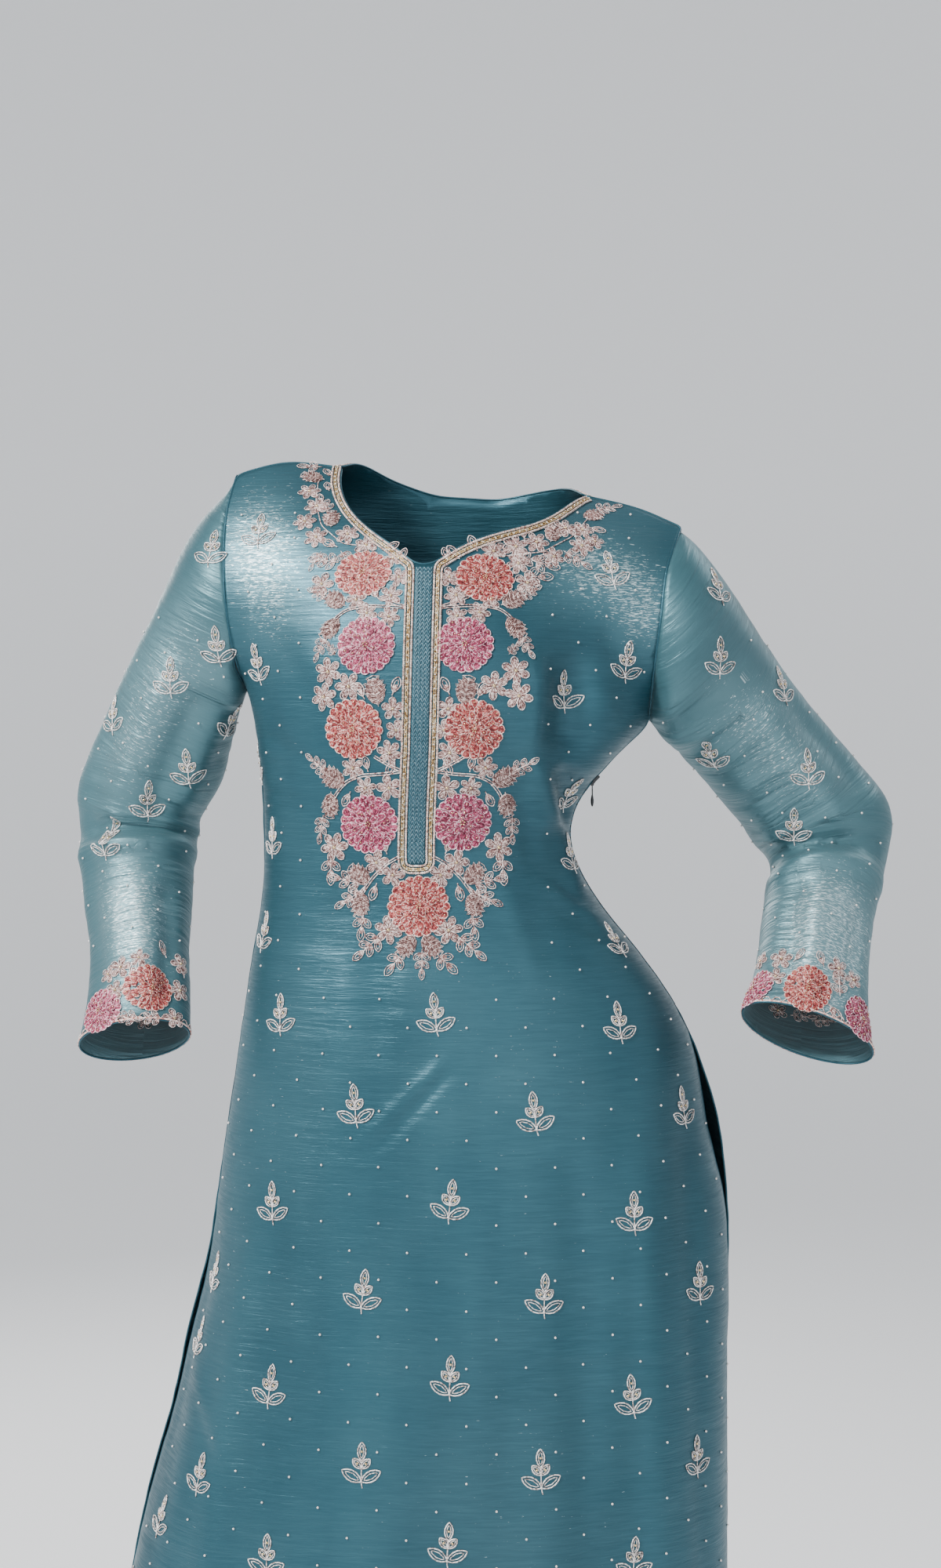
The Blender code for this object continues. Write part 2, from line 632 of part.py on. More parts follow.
def armhole_loop(side, body):
    """Points from the underarm up the front armhole to the shoulder tip and down the back."""
    loop = []
    for panel in ("front", "back"):
        column = 0 if side == "right" else body[panel]["last"]
        edge = [body[panel]["points"][column, BODY_ROWS + j].copy() for j in range(YOKE_ROWS + 1)]
        loop += edge[:-1] if panel == "front" else edge[:0:-1]
    return loop


def pelvis_point(row, share, side, inset):
    """Half of the body's section, from centre front round the side to centre back."""
    front = angle_at(row, row["centre"], "front")
    edge = 0.0 if side == "right" else math.pi
    if share < 0.5:
        return body_point(row, front + (edge - front) * share * 2, "front", inset)
    return body_point(row, edge + (front - edge) * (share - 0.5) * 2, "back", inset)


def leg_surface(side):
    """One leg: a sheet wrapped round from the centre front, open at the ankle."""
    away = -1.0 if side == "right" else 1.0
    top = row_height(BODY_ROWS - WAIST_ROWS[1]) - SEAM
    ankle = LEG_SECTIONS[-1][0]
    points = {}
    for k in range(ROWS_PER_LEG + 1):
        height = top + (ankle - top) * k / ROWS_PER_LEG
        row = body_row(max(height, HEM))
        inset = through([r[0] for r in LEG_INSETS], [r[1] for r in LEG_INSETS], height)
        leg = table_at(LEG_SECTIONS, LEG_COLUMNS, height)
        pelvis = smoothstep((height - CROTCH) / (PELVIS_END - CROTCH))
        for m in range(COLUMNS_PER_LEG + 1):
            share = m / COLUMNS_PER_LEG
            turn = 2 * math.pi * share
            x = row["centre"] + away * (leg["offset"] - leg["half_width"] * math.cos(turn))
            ring = Vector((x, -leg["half_depth"] * math.sin(turn), height))
            if m == COLUMNS_PER_LEG:
                ring = points[0, k].copy() if pelvis == 0.0 else ring
            hips = pelvis_point(row, share, side, inset) if pelvis > 0.0 else ring
            points[m, k] = ring.lerp(hips, pelvis)
    return {"points": points, "cells": grid_cells(points, side == "left")}


def waistband_surface(body):
    """A closed belt along two rows of the kameez, front and back."""
    points = {}
    for level, down in enumerate(reversed(WAIST_ROWS)):
        j = BODY_ROWS - down
        ring = [body["front"]["points"][i, j] for i in range(body["front"]["last"] + 1)]
        ring += [body["back"]["points"][i, j] for i in range(body["back"]["last"] - 1, 0, -1)]
        for i, point in enumerate(ring):
            points[i, level] = point.copy()
    return {"points": points, "cells": grid_cells(points, False, wrap=len(ring))}


def weld_key(point):
    return tuple(round(value / WELD_DISTANCE) for value in point)


def shared_normals(surfaces):
    """Smooth normals in which pieces that meet at a seam agree."""
    normals = {}
    for surface in surfaces:
        for cell in surface["cells"]:
            a, b, c, d = (surface["points"][key] for key in cell)
            facing = (c - a).cross(d - b)
            for corner in (a, b, c, d):
                key = weld_key(corner)
                normals[key] = normals.get(key, Vector()) + facing
    return normals


def open_seams(surfaces):
    """Each piece's normals, and its points drawn back by half a seam where pieces meet."""
    normals = shared_normals(surfaces)
    own_normals = [shared_normals([surface]) for surface in surfaces]
    owners = {}
    for surface in surfaces:
        for key in surface["points"]:
            owners.setdefault(weld_key(surface["points"][key]), []).append(key)
    for surface, own in zip(surfaces, own_normals):
        centres = {}
        for cell in surface["cells"]:
            middle = sum((surface["points"][key] for key in cell), Vector()) / len(cell)
            for key in cell:
                centres.setdefault(key, []).append(middle)
        surface["normals"] = {}
        moved = {}
        for key, point in surface["points"].items():
            weld = weld_key(point)
            surface["normals"][key] = normals[weld].normalized()
            if len(owners[weld]) > 1:
                inward = sum(centres[key], Vector()) / len(centres[key]) - point
                sharpness = 1.0 - own[weld].normalized().dot(surface["normals"][key])
                back = SEAM * SEAM_SHARE + CLOTH * sharpness
                moved[key] = point + inward.normalized() * back
        surface["points"].update(moved)


def new_material(name, colour, roughness, metallic):
    material = bpy.data.materials.new(name)
    material.use_nodes = True
    shader = material.node_tree.nodes["Principled BSDF"]
    shader.inputs["Base Color"].default_value = colour
    shader.inputs["Roughness"].default_value = roughness
    shader.inputs["Metallic"].default_value = metallic
    material.diffuse_color = colour
    return material


def new_object(name, mesh, finish):
    obj = bpy.data.objects.new(name, mesh)
    suit.objects.link(obj)
    colour, roughness, metallic = finish
    obj.data.materials.append(new_material(name, colour, roughness, metallic))
    return obj


def wall(name, surface, lift, thickness, finish):
    """Closed solid between two skins of one surface, both moved out along its normals."""
    mesh = bpy.data.meshes.new(name)
    bm = bmesh.new()
    low, high = {}, {}
    used = {key for cell in surface["cells"] for key in cell}
    for key in sorted(used):
        point, normal = surface["points"][key], surface["normals"][key]
        raised = thickness[key] if isinstance(thickness, dict) else thickness
        low[key] = bm.verts.new(point + normal * lift)
        high[key] = bm.verts.new(point + normal * (lift + raised))
    edges = set()
    for corners in triangles(surface):
        bm.faces.new([high[key] for key in corners])
        bm.faces.new([low[key] for key in reversed(corners)])
        edges.update(zip(corners, corners[1:] + corners[:1]))
    for start, end in sorted(edges):
        if (end, start) not in edges:
            bm.faces.new((low[start], low[end], high[end], high[start]))
    bm.to_mesh(mesh)
    bm.free()
    mesh.shade_smooth()
    mesh.set_sharp_from_angle(angle=SHARP_ANGLE)
    return new_object(name, mesh, finish)


def triangles(surface):
    """The cells of a surface, each four-cornered one split along its shorter diagonal."""
    result = []
    for cell in surface["cells"]:
        if len(cell) == 3:
            result.append(list(cell))
            continue
        a, b, c, d = cell
        at = surface["points"]
        if (at[a] - at[c]).length <= (at[b] - at[d]).length:
            result += [[a, b, c], [a, c, d]]
        else:
            result += [[a, b, d], [b, c, d]]
    return result


def outer_skin(surface):
    """Search tree over the outer side of a panel."""
    keys = sorted(surface["points"])
    number = {key: n for n, key in enumerate(keys)}
    places = [surface["points"][key] + surface["normals"][key] * CLOTH for key in keys]
    faces = [[number[key] for key in corners] for corners in triangles(surface)]
    return BVHTree.FromPolygons(places, faces)


def settle(tree, point):
    """Nearest place on a panel's outer skin, and its normal evened over a few millimetres."""
    place, normal, _, _ = tree.find_nearest(point)
    sideways = normal.orthogonal().normalized()
    upward = normal.cross(sideways)
    total = normal.copy()
    for step in (sideways, -sideways, upward, -upward):
        other = tree.find_nearest(place + normal * ABOVE + step * EVENING_REACH)[1]
        if other.dot(normal) > SAME_SIDE:
            total += other
    return place, total.normalized()


def on_front(tree, x, z):
    """Place on the front panel seen straight on at x, z."""
    place = tree.ray_cast(Vector((x, -1.0, z)), Vector((0.0, 1.0, 0.0)))[0]
    return settle(tree, place)


def band(tree, centres, width):
    """Ribbon laid on a panel along a row of centre points; a wide one has two columns."""
    surface = {"points": {}, "normals": {}}
    columns = 2 if width > WIDE_BAND else 1
    for k, centre in enumerate(centres):
        ahead = centres[min(k + 1, len(centres) - 1)] - centres[max(k - 1, 0)]
        place, normal = settle(tree, centre)
        side = ahead.cross(normal).normalized()
        for i in range(columns + 1):
            offset = side * (width * (i / columns - 0.5))
            spot, facing = settle(tree, place + offset + normal * ABOVE)
            surface["points"][i, k] = spot
            surface["normals"][i, k] = facing
    surface["cells"] = grid_cells(surface["points"], False)
    return surface


def neck_run(panel, side, steps):
    """Centre of the cord along one neck edge, from the flat middle to the shoulder seam."""
    surface = body[panel]
    column = SIDE_COLUMNS if side == "right" else surface["last"] - SIDE_COLUMNS
    beside = column - 1 if side == "right" else column + 1
    low = BODY_ROWS + FLAT_ROWS[panel]
    edge = [surface["points"][column, j] for j in range(low, BODY_ROWS + YOKE_ROWS + 1)]
    cloth = [surface["points"][beside, j] for j in range(low, BODY_ROWS + YOKE_ROWS + 1)]
    centres = []
    for j, point in enumerate(edge):
        ahead = edge[min(j + 1, len(edge) - 1)] - edge[max(j - 1, 0)]
        away = cloth[j] - point
        away -= ahead * (away.dot(ahead) / ahead.length_squared)
        above = surface["normals"][column, low + j] * (CLOTH + ABOVE)
        centres.append(point + away.normalized() * (CORD_EDGE + CORD_WIDTH / 2) + above)
    curve = path(centres)
    return [curve(n / steps * CORD_REACH) for n in range(steps + 1)]


def front_cord_route(tree):
    """Down one neck edge, down the strip, round its end and up the other side."""
    reach = STRIP_HALF + CORD_GAP + CORD_WIDTH / 2
    turn_height = STRIP_END - CORD_GAP - CORD_WIDTH / 2 + CORNER_RADIUS
    right = neck_run("front", "right", NECK_STEPS["right"])[::-1]
    left = neck_run("front", "left", NECK_STEPS["left"])
    top = min(right[-1].z, left[0].z) - CORD_DROP
    lower = []
    for n in range(STRIP_STEPS + 1):
        z = top + (turn_height - top) * n / STRIP_STEPS
        lower.append((-reach, z))
    for n in range(1, CORNER_STEPS + 1):
        turn = math.pi / 2 * n / CORNER_STEPS
        x = -reach + CORNER_RADIUS * (1 - math.cos(turn))
        lower.append((x, turn_height - CORNER_RADIUS * math.sin(turn)))
    flat = [(share * (reach - CORNER_RADIUS), lower[-1][1]) for share in (-1 / 3, 1 / 3)]
    route = lower + flat + [(-x, z) for x, z in reversed(lower)]
    middle = []
    for x, z in route:
        centre = table_at(CENTRE_FRONT, ("x",), z)["x"]
        middle.append(on_front(tree, centre + x, z)[0])
    return right[:-1] + middle + left[1:]


def strip_route(tree):
    top = NECKLINES["right", "front"][0][2] - STRIP_RISE
    places = []
    for n in range(STRIP_STEPS + 1):
        z = top + (STRIP_END - top) * n / STRIP_STEPS
        centre = table_at(CENTRE_FRONT, ("x",), z)["x"]
        places.append(on_front(tree, centre, z)[0])
    return places


def flower_surface(tree, flower):
    """Scalloped disc laid on the front: a middle ring inside a ring of lobes."""
    outer = 2 * FLOWER_LOBES
    surface = {"points": {}, "normals": {}, "cells": []}
    rise = {}

    def put(key, radius, turn, height):
        x = flower["x"] + flower["half_width"] * radius * math.cos(turn)
        z = flower["z"] + flower["half_height"] * radius * math.sin(turn)
        surface["points"][key], surface["normals"][key] = on_front(tree, x, z)
        rise[key] = height

    put((0, 0), 0.0, 0.0, FLOWER_RISE)
    for n in range(FLOWER_LOBES):
        turn = 2 * math.pi * n / FLOWER_LOBES
        put((1, n), FLOWER_MIDDLE_RING, turn, (FLOWER_RISE + FLOWER_EDGE) / 2)
    for n in range(outer):
        turn = 2 * math.pi * n / outer
        put((2, n), 1.0 if n % 2 else 1.0 - FLOWER_SCALLOP, turn, FLOWER_EDGE)
    for n in range(FLOWER_LOBES):
        after = (n + 1) % FLOWER_LOBES
        valley, tip, next_valley = (2, 2 * n), (2, 2 * n + 1), (2, (2 * n + 2) % outer)
        surface["cells"] += [
            [(0, 0), (1, n), (1, after)],
            [(1, n), valley, tip],
            [(1, n), tip, (1, after)],
            [(1, after), tip, next_valley],
        ]
    return surface, rise


def clear_lift(tree, surface):
    """Lift at which the flat cells of a laid piece clear every ridge of the panel below."""
    deepest = 0.0
    shares = [n / CLEARANCE_STEPS for n in range(CLEARANCE_STEPS + 1)]
    for cell in surface["cells"]:
        a, b, c = (surface["points"][key] for key in cell[:3])
        d = surface["points"][cell[-1]]
        facing = sum((surface["normals"][key] for key in cell), Vector()).normalized()
        for u in shares:
            for v in shares:
                spot = a.lerp(b, u).lerp(d.lerp(c, u), v)
                hit = tree.ray_cast(spot + facing * PROBE, -facing, 2 * PROBE)[0]
                if hit is not None:
                    deepest = max(deepest, (hit - spot).dot(facing))
    return LAID_GAP + deepest


def join_with(obj, other, operation):
    modifier = obj.modifiers.new(operation.lower(), "BOOLEAN")
    modifier.operation = operation
    modifier.object = other
    modifier.solver = "EXACT"


def helper_mesh(bm, name, matrix):
    """Object for cutting or joining, which is not a piece of the suit."""
    mesh = bpy.data.meshes.new(name)
    bm.to_mesh(mesh)
    bm.free()
    obj = bpy.data.objects.new(name, mesh)
    helpers.objects.link(obj)
    obj.matrix_world = matrix
    obj.hide_render = True
    obj.display_type = "WIRE"
    return obj


def block(size, centre):
    bm = bmesh.new()
    bmesh.ops.create_cube(bm, size=1.0)
    bmesh.ops.scale(bm, vec=Vector(size), verts=bm.verts)
    bmesh.ops.translate(bm, vec=Vector(centre), verts=bm.verts)
    return bm


def rod(radius, length):
    """Cylinder along Y."""
    bm = bmesh.new()
    turn = Matrix.Rotation(math.radians(90), 4, "X")
    bmesh.ops.create_cone(
        bm, cap_ends=True, segments=ROD_SEGMENTS, radius1=radius, radius2=radius, depth=length,
        matrix=turn,
    )
    return bm


def zip_frame():
    """Matrices of the slider, which lies along the side seam, and of the pull, which hangs."""
    above, below = (
        Vector((outline_x("left", ZIP_HEIGHT + d), 0.0, ZIP_HEIGHT + d))
        for d in (SLIDER_SIZE[2], -SLIDER_SIZE[2])
    )
    slope = above - below
    lean = math.atan2(slope.x, slope.z)
    turn = Matrix.Rotation(lean, 4, "Y")
    row = body_row(ZIP_HEIGHT - ZIP_ROW_DROP)
    seat = Vector((outline_x("left", ZIP_HEIGHT), -row["turn"], ZIP_HEIGHT))
    out = turn @ Vector((1.0, 0.0, 0.0))
    seat += out * (CLOTH + SEAM + SLIDER_STAND + SLIDER_SIZE[0] / 2)
    slider = Matrix.Translation(seat) @ turn
    pin = slider @ Vector((PIN_SHIFT[0], 0.0, PIN_SHIFT[1] - SLIDER_SIZE[2] / 2))
    return slider, Matrix.Translation(pin)


def build_zip():
    slider_matrix, pull_matrix = zip_frame()
    finish = (BLACK_METAL, 0.35, 0.9)

    bm = block(SLIDER_SIZE, (0.0, 0.0, 0.0))
    bmesh.ops.bevel(bm, geom=bm.edges[:], offset=SLIDER_ROUNDING, segments=2, affect="EDGES")
    mesh = bpy.data.meshes.new("zip_slider")
    bm.to_mesh(mesh)
    bm.free()
    slider = new_object("zip_slider", mesh, finish)
    slider.matrix_world = slider_matrix
    for sign, label in ((-1, "front"), (1, "back")):
        y = sign * (EAR_GAP + EAR_SIZE[1]) / 2
        ear = block(EAR_SIZE, (EAR_SHIFT[0], y, EAR_SHIFT[1] - SLIDER_SIZE[2] / 2))
        join_with(slider, helper_mesh(ear, f"ear_{label}", slider_matrix), "UNION")
    pin = rod(PIN_RADIUS, EAR_GAP + EAR_SIZE[1])
    join_with(slider, helper_mesh(pin, "pin", pull_matrix), "UNION")

    eye_width = EAR_GAP - 4 * SEAM
    mesh = bpy.data.meshes.new("zip_pull")
    bm = rod(EYE_RADIUS, eye_width)
    bm.to_mesh(mesh)
    bm.free()
    pull = new_object("zip_pull", mesh, finish)
    pull.matrix_world = pull_matrix
    neck_size = (PULL_SIZE[0], eye_width, PULL_NECK_LENGTH)
    neck = block(neck_size, (0.0, 0.0, PULL_NECK_LENGTH / 2 - PULL_DROP - SEAM))
    join_with(pull, helper_mesh(neck, "pull_neck", pull_matrix), "UNION")
    tab = block(PULL_SIZE, (0.0, 0.0, -PULL_DROP - PULL_SIZE[2] / 2))
    bmesh.ops.bevel(tab, geom=tab.edges[:], offset=PULL_ROUNDING, segments=1, affect="EDGES")
    join_with(pull, helper_mesh(tab, "pull_tab", pull_matrix), "UNION")
    bore = rod(EYE_BORE, 2 * EAR_GAP)
    join_with(pull, helper_mesh(bore, "pull_bore", pull_matrix), "DIFFERENCE")


for old in list(bpy.data.objects):
    bpy.data.objects.remove(old, do_unlink=True)
suit = bpy.data.collections.new("salwar_kameez_suit")
helpers = bpy.data.collections.new("helpers")
bpy.context.scene.collection.children.link(suit)
bpy.context.scene.collection.children.link(helpers)

silk = (TEAL, 0.45, 0.25)
sheer = (SHEER_TEAL, 0.40, 0.20)
body = {panel: kameez_panel(panel) for panel in ("front", "back")}
sleeves = {}
for side in ("right", "left"):
    for half, surface in sleeve_halves(sleeve_surface(side, body), ELBOW_ROW[side]).items():
        sleeves[f"sleeve_{side}_{half}"] = surface
waistband = waistband_surface(body)
belt_normals = shared_normals([body["front"], body["back"]])
waistband["normals"] = {
    key: belt_normals[weld_key(point)].normalized() for key, point in waistband["points"].items()
}
legs = {side: leg_surface(side) for side in ("right", "left")}
open_seams([body["front"], body["back"], *sleeves.values()])
open_seams([legs["right"], legs["left"]])

for panel in ("front", "back"):
    wall(f"kameez_{panel}", body[panel], 0.0, CLOTH, silk)
for side in ("right", "left"):
    wall(f"salwar_leg_{side}", legs[side], -1.5 * CLOTH, CLOTH, silk)
for name, surface in sleeves.items():
    wall(name, surface, 0.0, CLOTH, sheer)
wall("salwar_waistband", waistband, -LAID_GAP - BELT, BELT, silk)

front_skin, back_skin = outer_skin(body["front"]), outer_skin(body["back"])
back_runs = {side: neck_run("back", side, NECK_STEPS["back"]) for side in ("right", "left")}
back_route = back_runs["right"][::-1] + back_runs["left"]
cord = (CORD_GOLD, 0.35, 0.8)
laid_bands = (
    ("placket_strip", front_skin, strip_route(front_skin), 2 * STRIP_HALF, (STRIP_TEAL, 0.6, 0.1)),
    ("neck_trim_front", front_skin, front_cord_route(front_skin), CORD_WIDTH, cord),
    ("neck_trim_back", back_skin, back_route, CORD_WIDTH, cord),
)
for name, skin, route, width, finish in laid_bands:
    ribbon = band(skin, route, width)
    wall(name, ribbon, clear_lift(skin, ribbon), TRIM, finish)
for number, values in enumerate(FLOWERS, 1):
    flower = dict(zip(FLOWER_COLUMNS, values))
    patch, rise = flower_surface(front_skin, flower)
    lift = clear_lift(front_skin, patch)
    wall(f"flower_{number}", patch, lift, rise, (flower["colour"], 0.7, 0.1))
build_zip()
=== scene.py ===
# Looks of the salwar kameez suit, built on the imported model.
# Metres. The front faces -Y, and the wearer's left side is at +X.
import math
import random

import bpy
from mathutils import Matrix, Vector, noise
from mathutils.bvhtree import BVHTree


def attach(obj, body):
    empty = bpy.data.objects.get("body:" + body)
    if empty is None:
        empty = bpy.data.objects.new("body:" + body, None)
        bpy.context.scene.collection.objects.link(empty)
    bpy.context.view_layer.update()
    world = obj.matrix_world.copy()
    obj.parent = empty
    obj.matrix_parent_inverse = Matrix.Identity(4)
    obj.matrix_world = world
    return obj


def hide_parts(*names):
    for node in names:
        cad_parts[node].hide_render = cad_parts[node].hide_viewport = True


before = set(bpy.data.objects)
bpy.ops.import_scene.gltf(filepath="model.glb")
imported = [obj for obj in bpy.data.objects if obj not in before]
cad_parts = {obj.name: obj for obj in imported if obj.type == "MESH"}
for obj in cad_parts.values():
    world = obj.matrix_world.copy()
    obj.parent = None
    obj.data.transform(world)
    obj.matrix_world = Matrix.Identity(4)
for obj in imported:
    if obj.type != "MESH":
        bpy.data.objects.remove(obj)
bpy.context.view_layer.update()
random.seed(11)
mm = 0.001
print("frame loaded")


# working helpers
def deselectAll():
    if bpy.context.object and bpy.context.object.mode != "OBJECT":
        bpy.ops.object.mode_set(mode="OBJECT")
    bpy.ops.object.select_all(action="DESELECT")


def pickOnly(*objs):
    deselectAll()
    for obj in objs:
        obj.select_set(True)
    bpy.context.view_layer.objects.active = objs[0]
    return objs[0]


def applyModifier(obj, kind, **settings):
    pickOnly(obj)
    modifier = obj.modifiers.new(kind.lower(), kind)
    for name, value in settings.items():
        setattr(modifier, name, value)
    bpy.ops.object.modifier_apply(modifier=modifier.name)


def joinAll(objs, name):
    kept = pickOnly(*objs)
    if len(objs) > 1:
        bpy.ops.object.join()
    kept.name = name
    kept.data.name = name
    return kept


def linkNew(name, data):
    obj = bpy.data.objects.new(name, data)
    bpy.context.scene.collection.objects.link(obj)
    return obj


def smoothStep(share):
    share = max(0.0, min(1.0, share))
    return share * share * (3 - 2 * share)


# straight run between the rows of a table
def tableAt(table, key):
    if (table[0][0] - key) * (table[0][0] - table[-1][0]) <= 0:
        return table[0][1]
    for (a, low), (b, high) in zip(table, table[1:]):
        if min(a, b) <= key <= max(a, b):
            return low + (high - low) * (key - a) / (b - a)
    return table[-1][1]


# materials
def newMaterial(name, colour, roughness, metallic, **sockets):
    material = bpy.data.materials.new(name)
    material.use_nodes = True
    shader = material.node_tree.nodes["Principled BSDF"]
    shader.inputs["Base Color"].default_value = (*colour, 1)
    shader.inputs["Roughness"].default_value = roughness
    shader.inputs["Metallic"].default_value = metallic
    for socket, value in sockets.items():
        shader.inputs[socket.replace("_", " ")].default_value = value
    material.diffuse_color = (*colour, 1)
    return material


def addNode(material, kind, **values):
    node = material.node_tree.nodes.new("ShaderNode" + kind)
    for name, value in values.items():
        if name in node.inputs:
            node.inputs[name].default_value = value
        else:
            setattr(node, name, value)
    return node


def join(material, fromNode, fromSocket, toNode, toSocket):
    material.node_tree.links.new(fromNode.outputs[fromSocket], toNode.inputs[toSocket])


# noise on coordinates that are scaled unevenly, per metre
def stretchedNoise(material, coordinates, scale, detail, roughness=0.55, distortion=0.0):
    source = addNode(material, "TexCoord")
    mapping = addNode(material, "Mapping", Scale=scale)
    texture = addNode(material, "TexNoise", Scale=1.0, Detail=detail, Roughness=roughness,
                      Distortion=distortion)
    join(material, source, coordinates, mapping, "Vector")
    join(material, mapping, "Vector", texture, "Vector")
    return texture


def ramp(material, source, stops, socket="Fac"):
    node = addNode(material, "ValToRGB")
    join(material, source, socket, node, "Fac")
    while len(node.color_ramp.elements) < len(stops):
        node.color_ramp.elements.new(0.5)
    for element, (place, colour) in zip(node.color_ramp.elements, stops):
        element.position = place
        element.color = (*colour, 1)
    return node


def plainColour(material, colour):
    node = addNode(material, "RGB")
    node.outputs[0].default_value = (*colour, 1)
    return node


# factor is a number or a ramp node
def mixNodes(material, first, second, factor):
    node = addNode(material, "Mix", data_type="RGBA")
    for source, place in ((first, 6), (second, 7)):  # a mix node gives its colour at its third output
        join(material, source, 2 if source.bl_idname == "ShaderNodeMix" else 0, node, place)
    if isinstance(factor, float):
        node.inputs[0].default_value = factor
    else:
        join(material, factor, 0, node, 0)
    return node


# a bump as high as a texture, over the bump below it
def addBump(material, texture, strength, distance, below=None):
    node = addNode(material, "Bump", Strength=strength, Distance=distance)
    join(material, texture, "Fac", node, "Height")
    if below:
        join(material, below, "Normal", node, "Normal")
    return node


tissue = {  # what the silks have alike: stops of the ramps, and how deep the bumps are
    "clouds": (0.36, 0.66), "crinkles": (0.38, 0.72), "flecks": (0.76, 0.84), "rough": ((0.35, 0.07), (0.70, -0.08)),
    "ripple": 4 * mm, "crinkle": 1.2 * mm, "weave": 0.4 * mm, "sheenTint": (0.55, 0.80, 0.88, 1),
}


# satin silk shot with metal thread; the threads run along the first coordinate; its colour carries a painted highlight
# and painted glints
def tissueSilk(name, look):
    material = newMaterial(name, look["mid"], look["roughness"], look["metallic"],
                           Anisotropic=0.4, Sheen_Weight=look["sheen"], Sheen_Roughness=0.4,
                           Sheen_Tint=tissue["sheenTint"], Alpha=look["alpha"])
    shader = material.node_tree.nodes["Principled BSDF"]

    def noiseOf(kind, *values):
        along, across = look[kind]
        scale = (along, along, across) if look["coordinates"] == "Object" else (along, across, 1)
        return stretchedNoise(material, look["coordinates"], scale, *values)

    def rampOf(kind, source, low, high, socket="Fac"):
        return ramp(material, source, list(zip(tissue[kind], (low, high))), socket)

    clouds = noiseOf("clouds", 3)
    crinkles = noiseOf("crinkles", 4, 0.6, 0.8)
    flecks = noiseOf("flecks", 2, 0.65, 0.5)
    ripples = noiseOf("ripples", 2, 0.5, 0.9)
    # painted highlight: a number read from the cloth says how far the silk is painted towards a pale colour
    painted = addNode(material, "Attribute", attribute_name="paintedHighlightAmount")  # where the metal thread catches the light
    colour = mixNodes(material, rampOf("clouds", clouds, look["deep"], look["mid"]),
                      rampOf("crinkles", crinkles, look["mid"], look["light"]), look["crinkled"])
    paintedHighlightPatches = ramp(material, painted, [(0.0, (look["paintedHighlightLeast"],) * 3), (1.0, (look["paintedHighlightMost"],) * 3)])
    colour = mixNodes(material, colour, plainColour(material, look["paintedHighlight"]), paintedHighlightPatches)
    # painted glints: bright flecks mixed into the colour, crowding where the painted highlight is strong
    reach = addNode(material, "Math", operation="MULTIPLY_ADD")  # flecks crowd together where it shines
    join(material, painted, "Fac", reach, 0)
    reach.inputs[1].default_value = look["crowding"]
    join(material, flecks, "Fac", reach, 2)
    spots = rampOf("flecks", reach, (0, 0, 0), (look["fleckShare"],) * 3, "Value")
    colour = mixNodes(material, colour, plainColour(material, look["glint"]), spots)
    join(material, colour, 2, shader, "Base Color")
    rough = ramp(material, crinkles, [(place, (look["roughness"] + more,) * 3) for place, more in tissue["rough"]])
    join(material, rough, "Color", shader, "Roughness")
    ripple = addBump(material, ripples, look["ripple"], tissue["ripple"])
    crinkle = addBump(material, crinkles, look["crinkle"], tissue["crinkle"], ripple)
    weave = addBump(material, flecks, look["weave"], tissue["weave"], crinkle)
    join(material, weave, "Normal", shader, "Normal")
    return material


threadLook = {"shadeGlintNoise": 520, "twist": 1500, "stops": (0.40, 0.22), "bump": 0.6, "depth": 0.5 * mm}


# wound metal thread whose colour wanders from stitch to stitch; with three colours, the darkest is painted shade
# between the stitches and the palest a painted highlight
def metalThread(name, stitchColoursShadeToGlint, roughness, metallic):
    material = newMaterial(name, stitchColoursShadeToGlint[0], roughness, metallic)
    shader = material.node_tree.nodes["Principled BSDF"]
    shadeGlintNoise = stretchedNoise(material, "Object", (threadLook["shadeGlintNoise"],) * 3, 3, 0.7)
    first, span = threadLook["stops"]
    stops = [(first + span * n / (len(stitchColoursShadeToGlint) - 1), colour) for n, colour in enumerate(stitchColoursShadeToGlint)]
    join(material, ramp(material, shadeGlintNoise, stops), "Color", shader, "Base Color")
    twist = stretchedNoise(material, "Object", (threadLook["twist"],) * 3, 1)
    bump = addBump(material, twist, threadLook["bump"], threadLook["depth"])
    join(material, bump, "Normal", shader, "Normal")
    return material


# each look holds a painted highlight colour and a painted glint colour, and how strongly they are mixed in
bodySilkLook = {
    "deep": (0.012, 0.060, 0.085), "mid": (0.021, 0.091, 0.124), "light": (0.050, 0.158, 0.202),
    "paintedHighlight": (0.14, 0.30, 0.35), "paintedHighlightLeast": 0.0, "paintedHighlightMost": 0.45,
    "glint": (0.66, 0.84, 0.88), "fleckShare": 0.8, "crowding": 0.24, "crinkled": 0.28,
    "roughness": 0.40, "metallic": 0.55, "sheen": 0.05, "alpha": 1.0, "coordinates": "Object",
    "clouds": (11, 2.6), "crinkles": (30, 520), "flecks": (190, 1250), "crinkle": 0.34, "weave": 0.20,
    "ripples": (10, 100), "ripple": 0.13,
}
organzaLook = {
    "deep": (0.022, 0.090, 0.115), "mid": (0.042, 0.140, 0.170), "light": (0.090, 0.215, 0.250),
    "paintedHighlight": (0.24, 0.42, 0.47), "paintedHighlightLeast": 0.10, "paintedHighlightMost": 0.60,
    "glint": (0.74, 0.90, 0.94), "fleckShare": 0.85, "crowding": 0.24, "crinkled": 0.20,
    "roughness": 0.40, "metallic": 0.45, "sheen": 0.15, "alpha": 0.84, "coordinates": "UV",
    "clouds": (9, 5), "crinkles": (38, 700), "flecks": (190, 1150), "crinkle": 0.36, "weave": 0.20,
    "ripples": (11, 120), "ripple": 0.55,
}
silk = tissueSilk("tealTissueSilk", bodySilkLook)
organza = tissueSilk("tealSheerSilk", organzaLook)
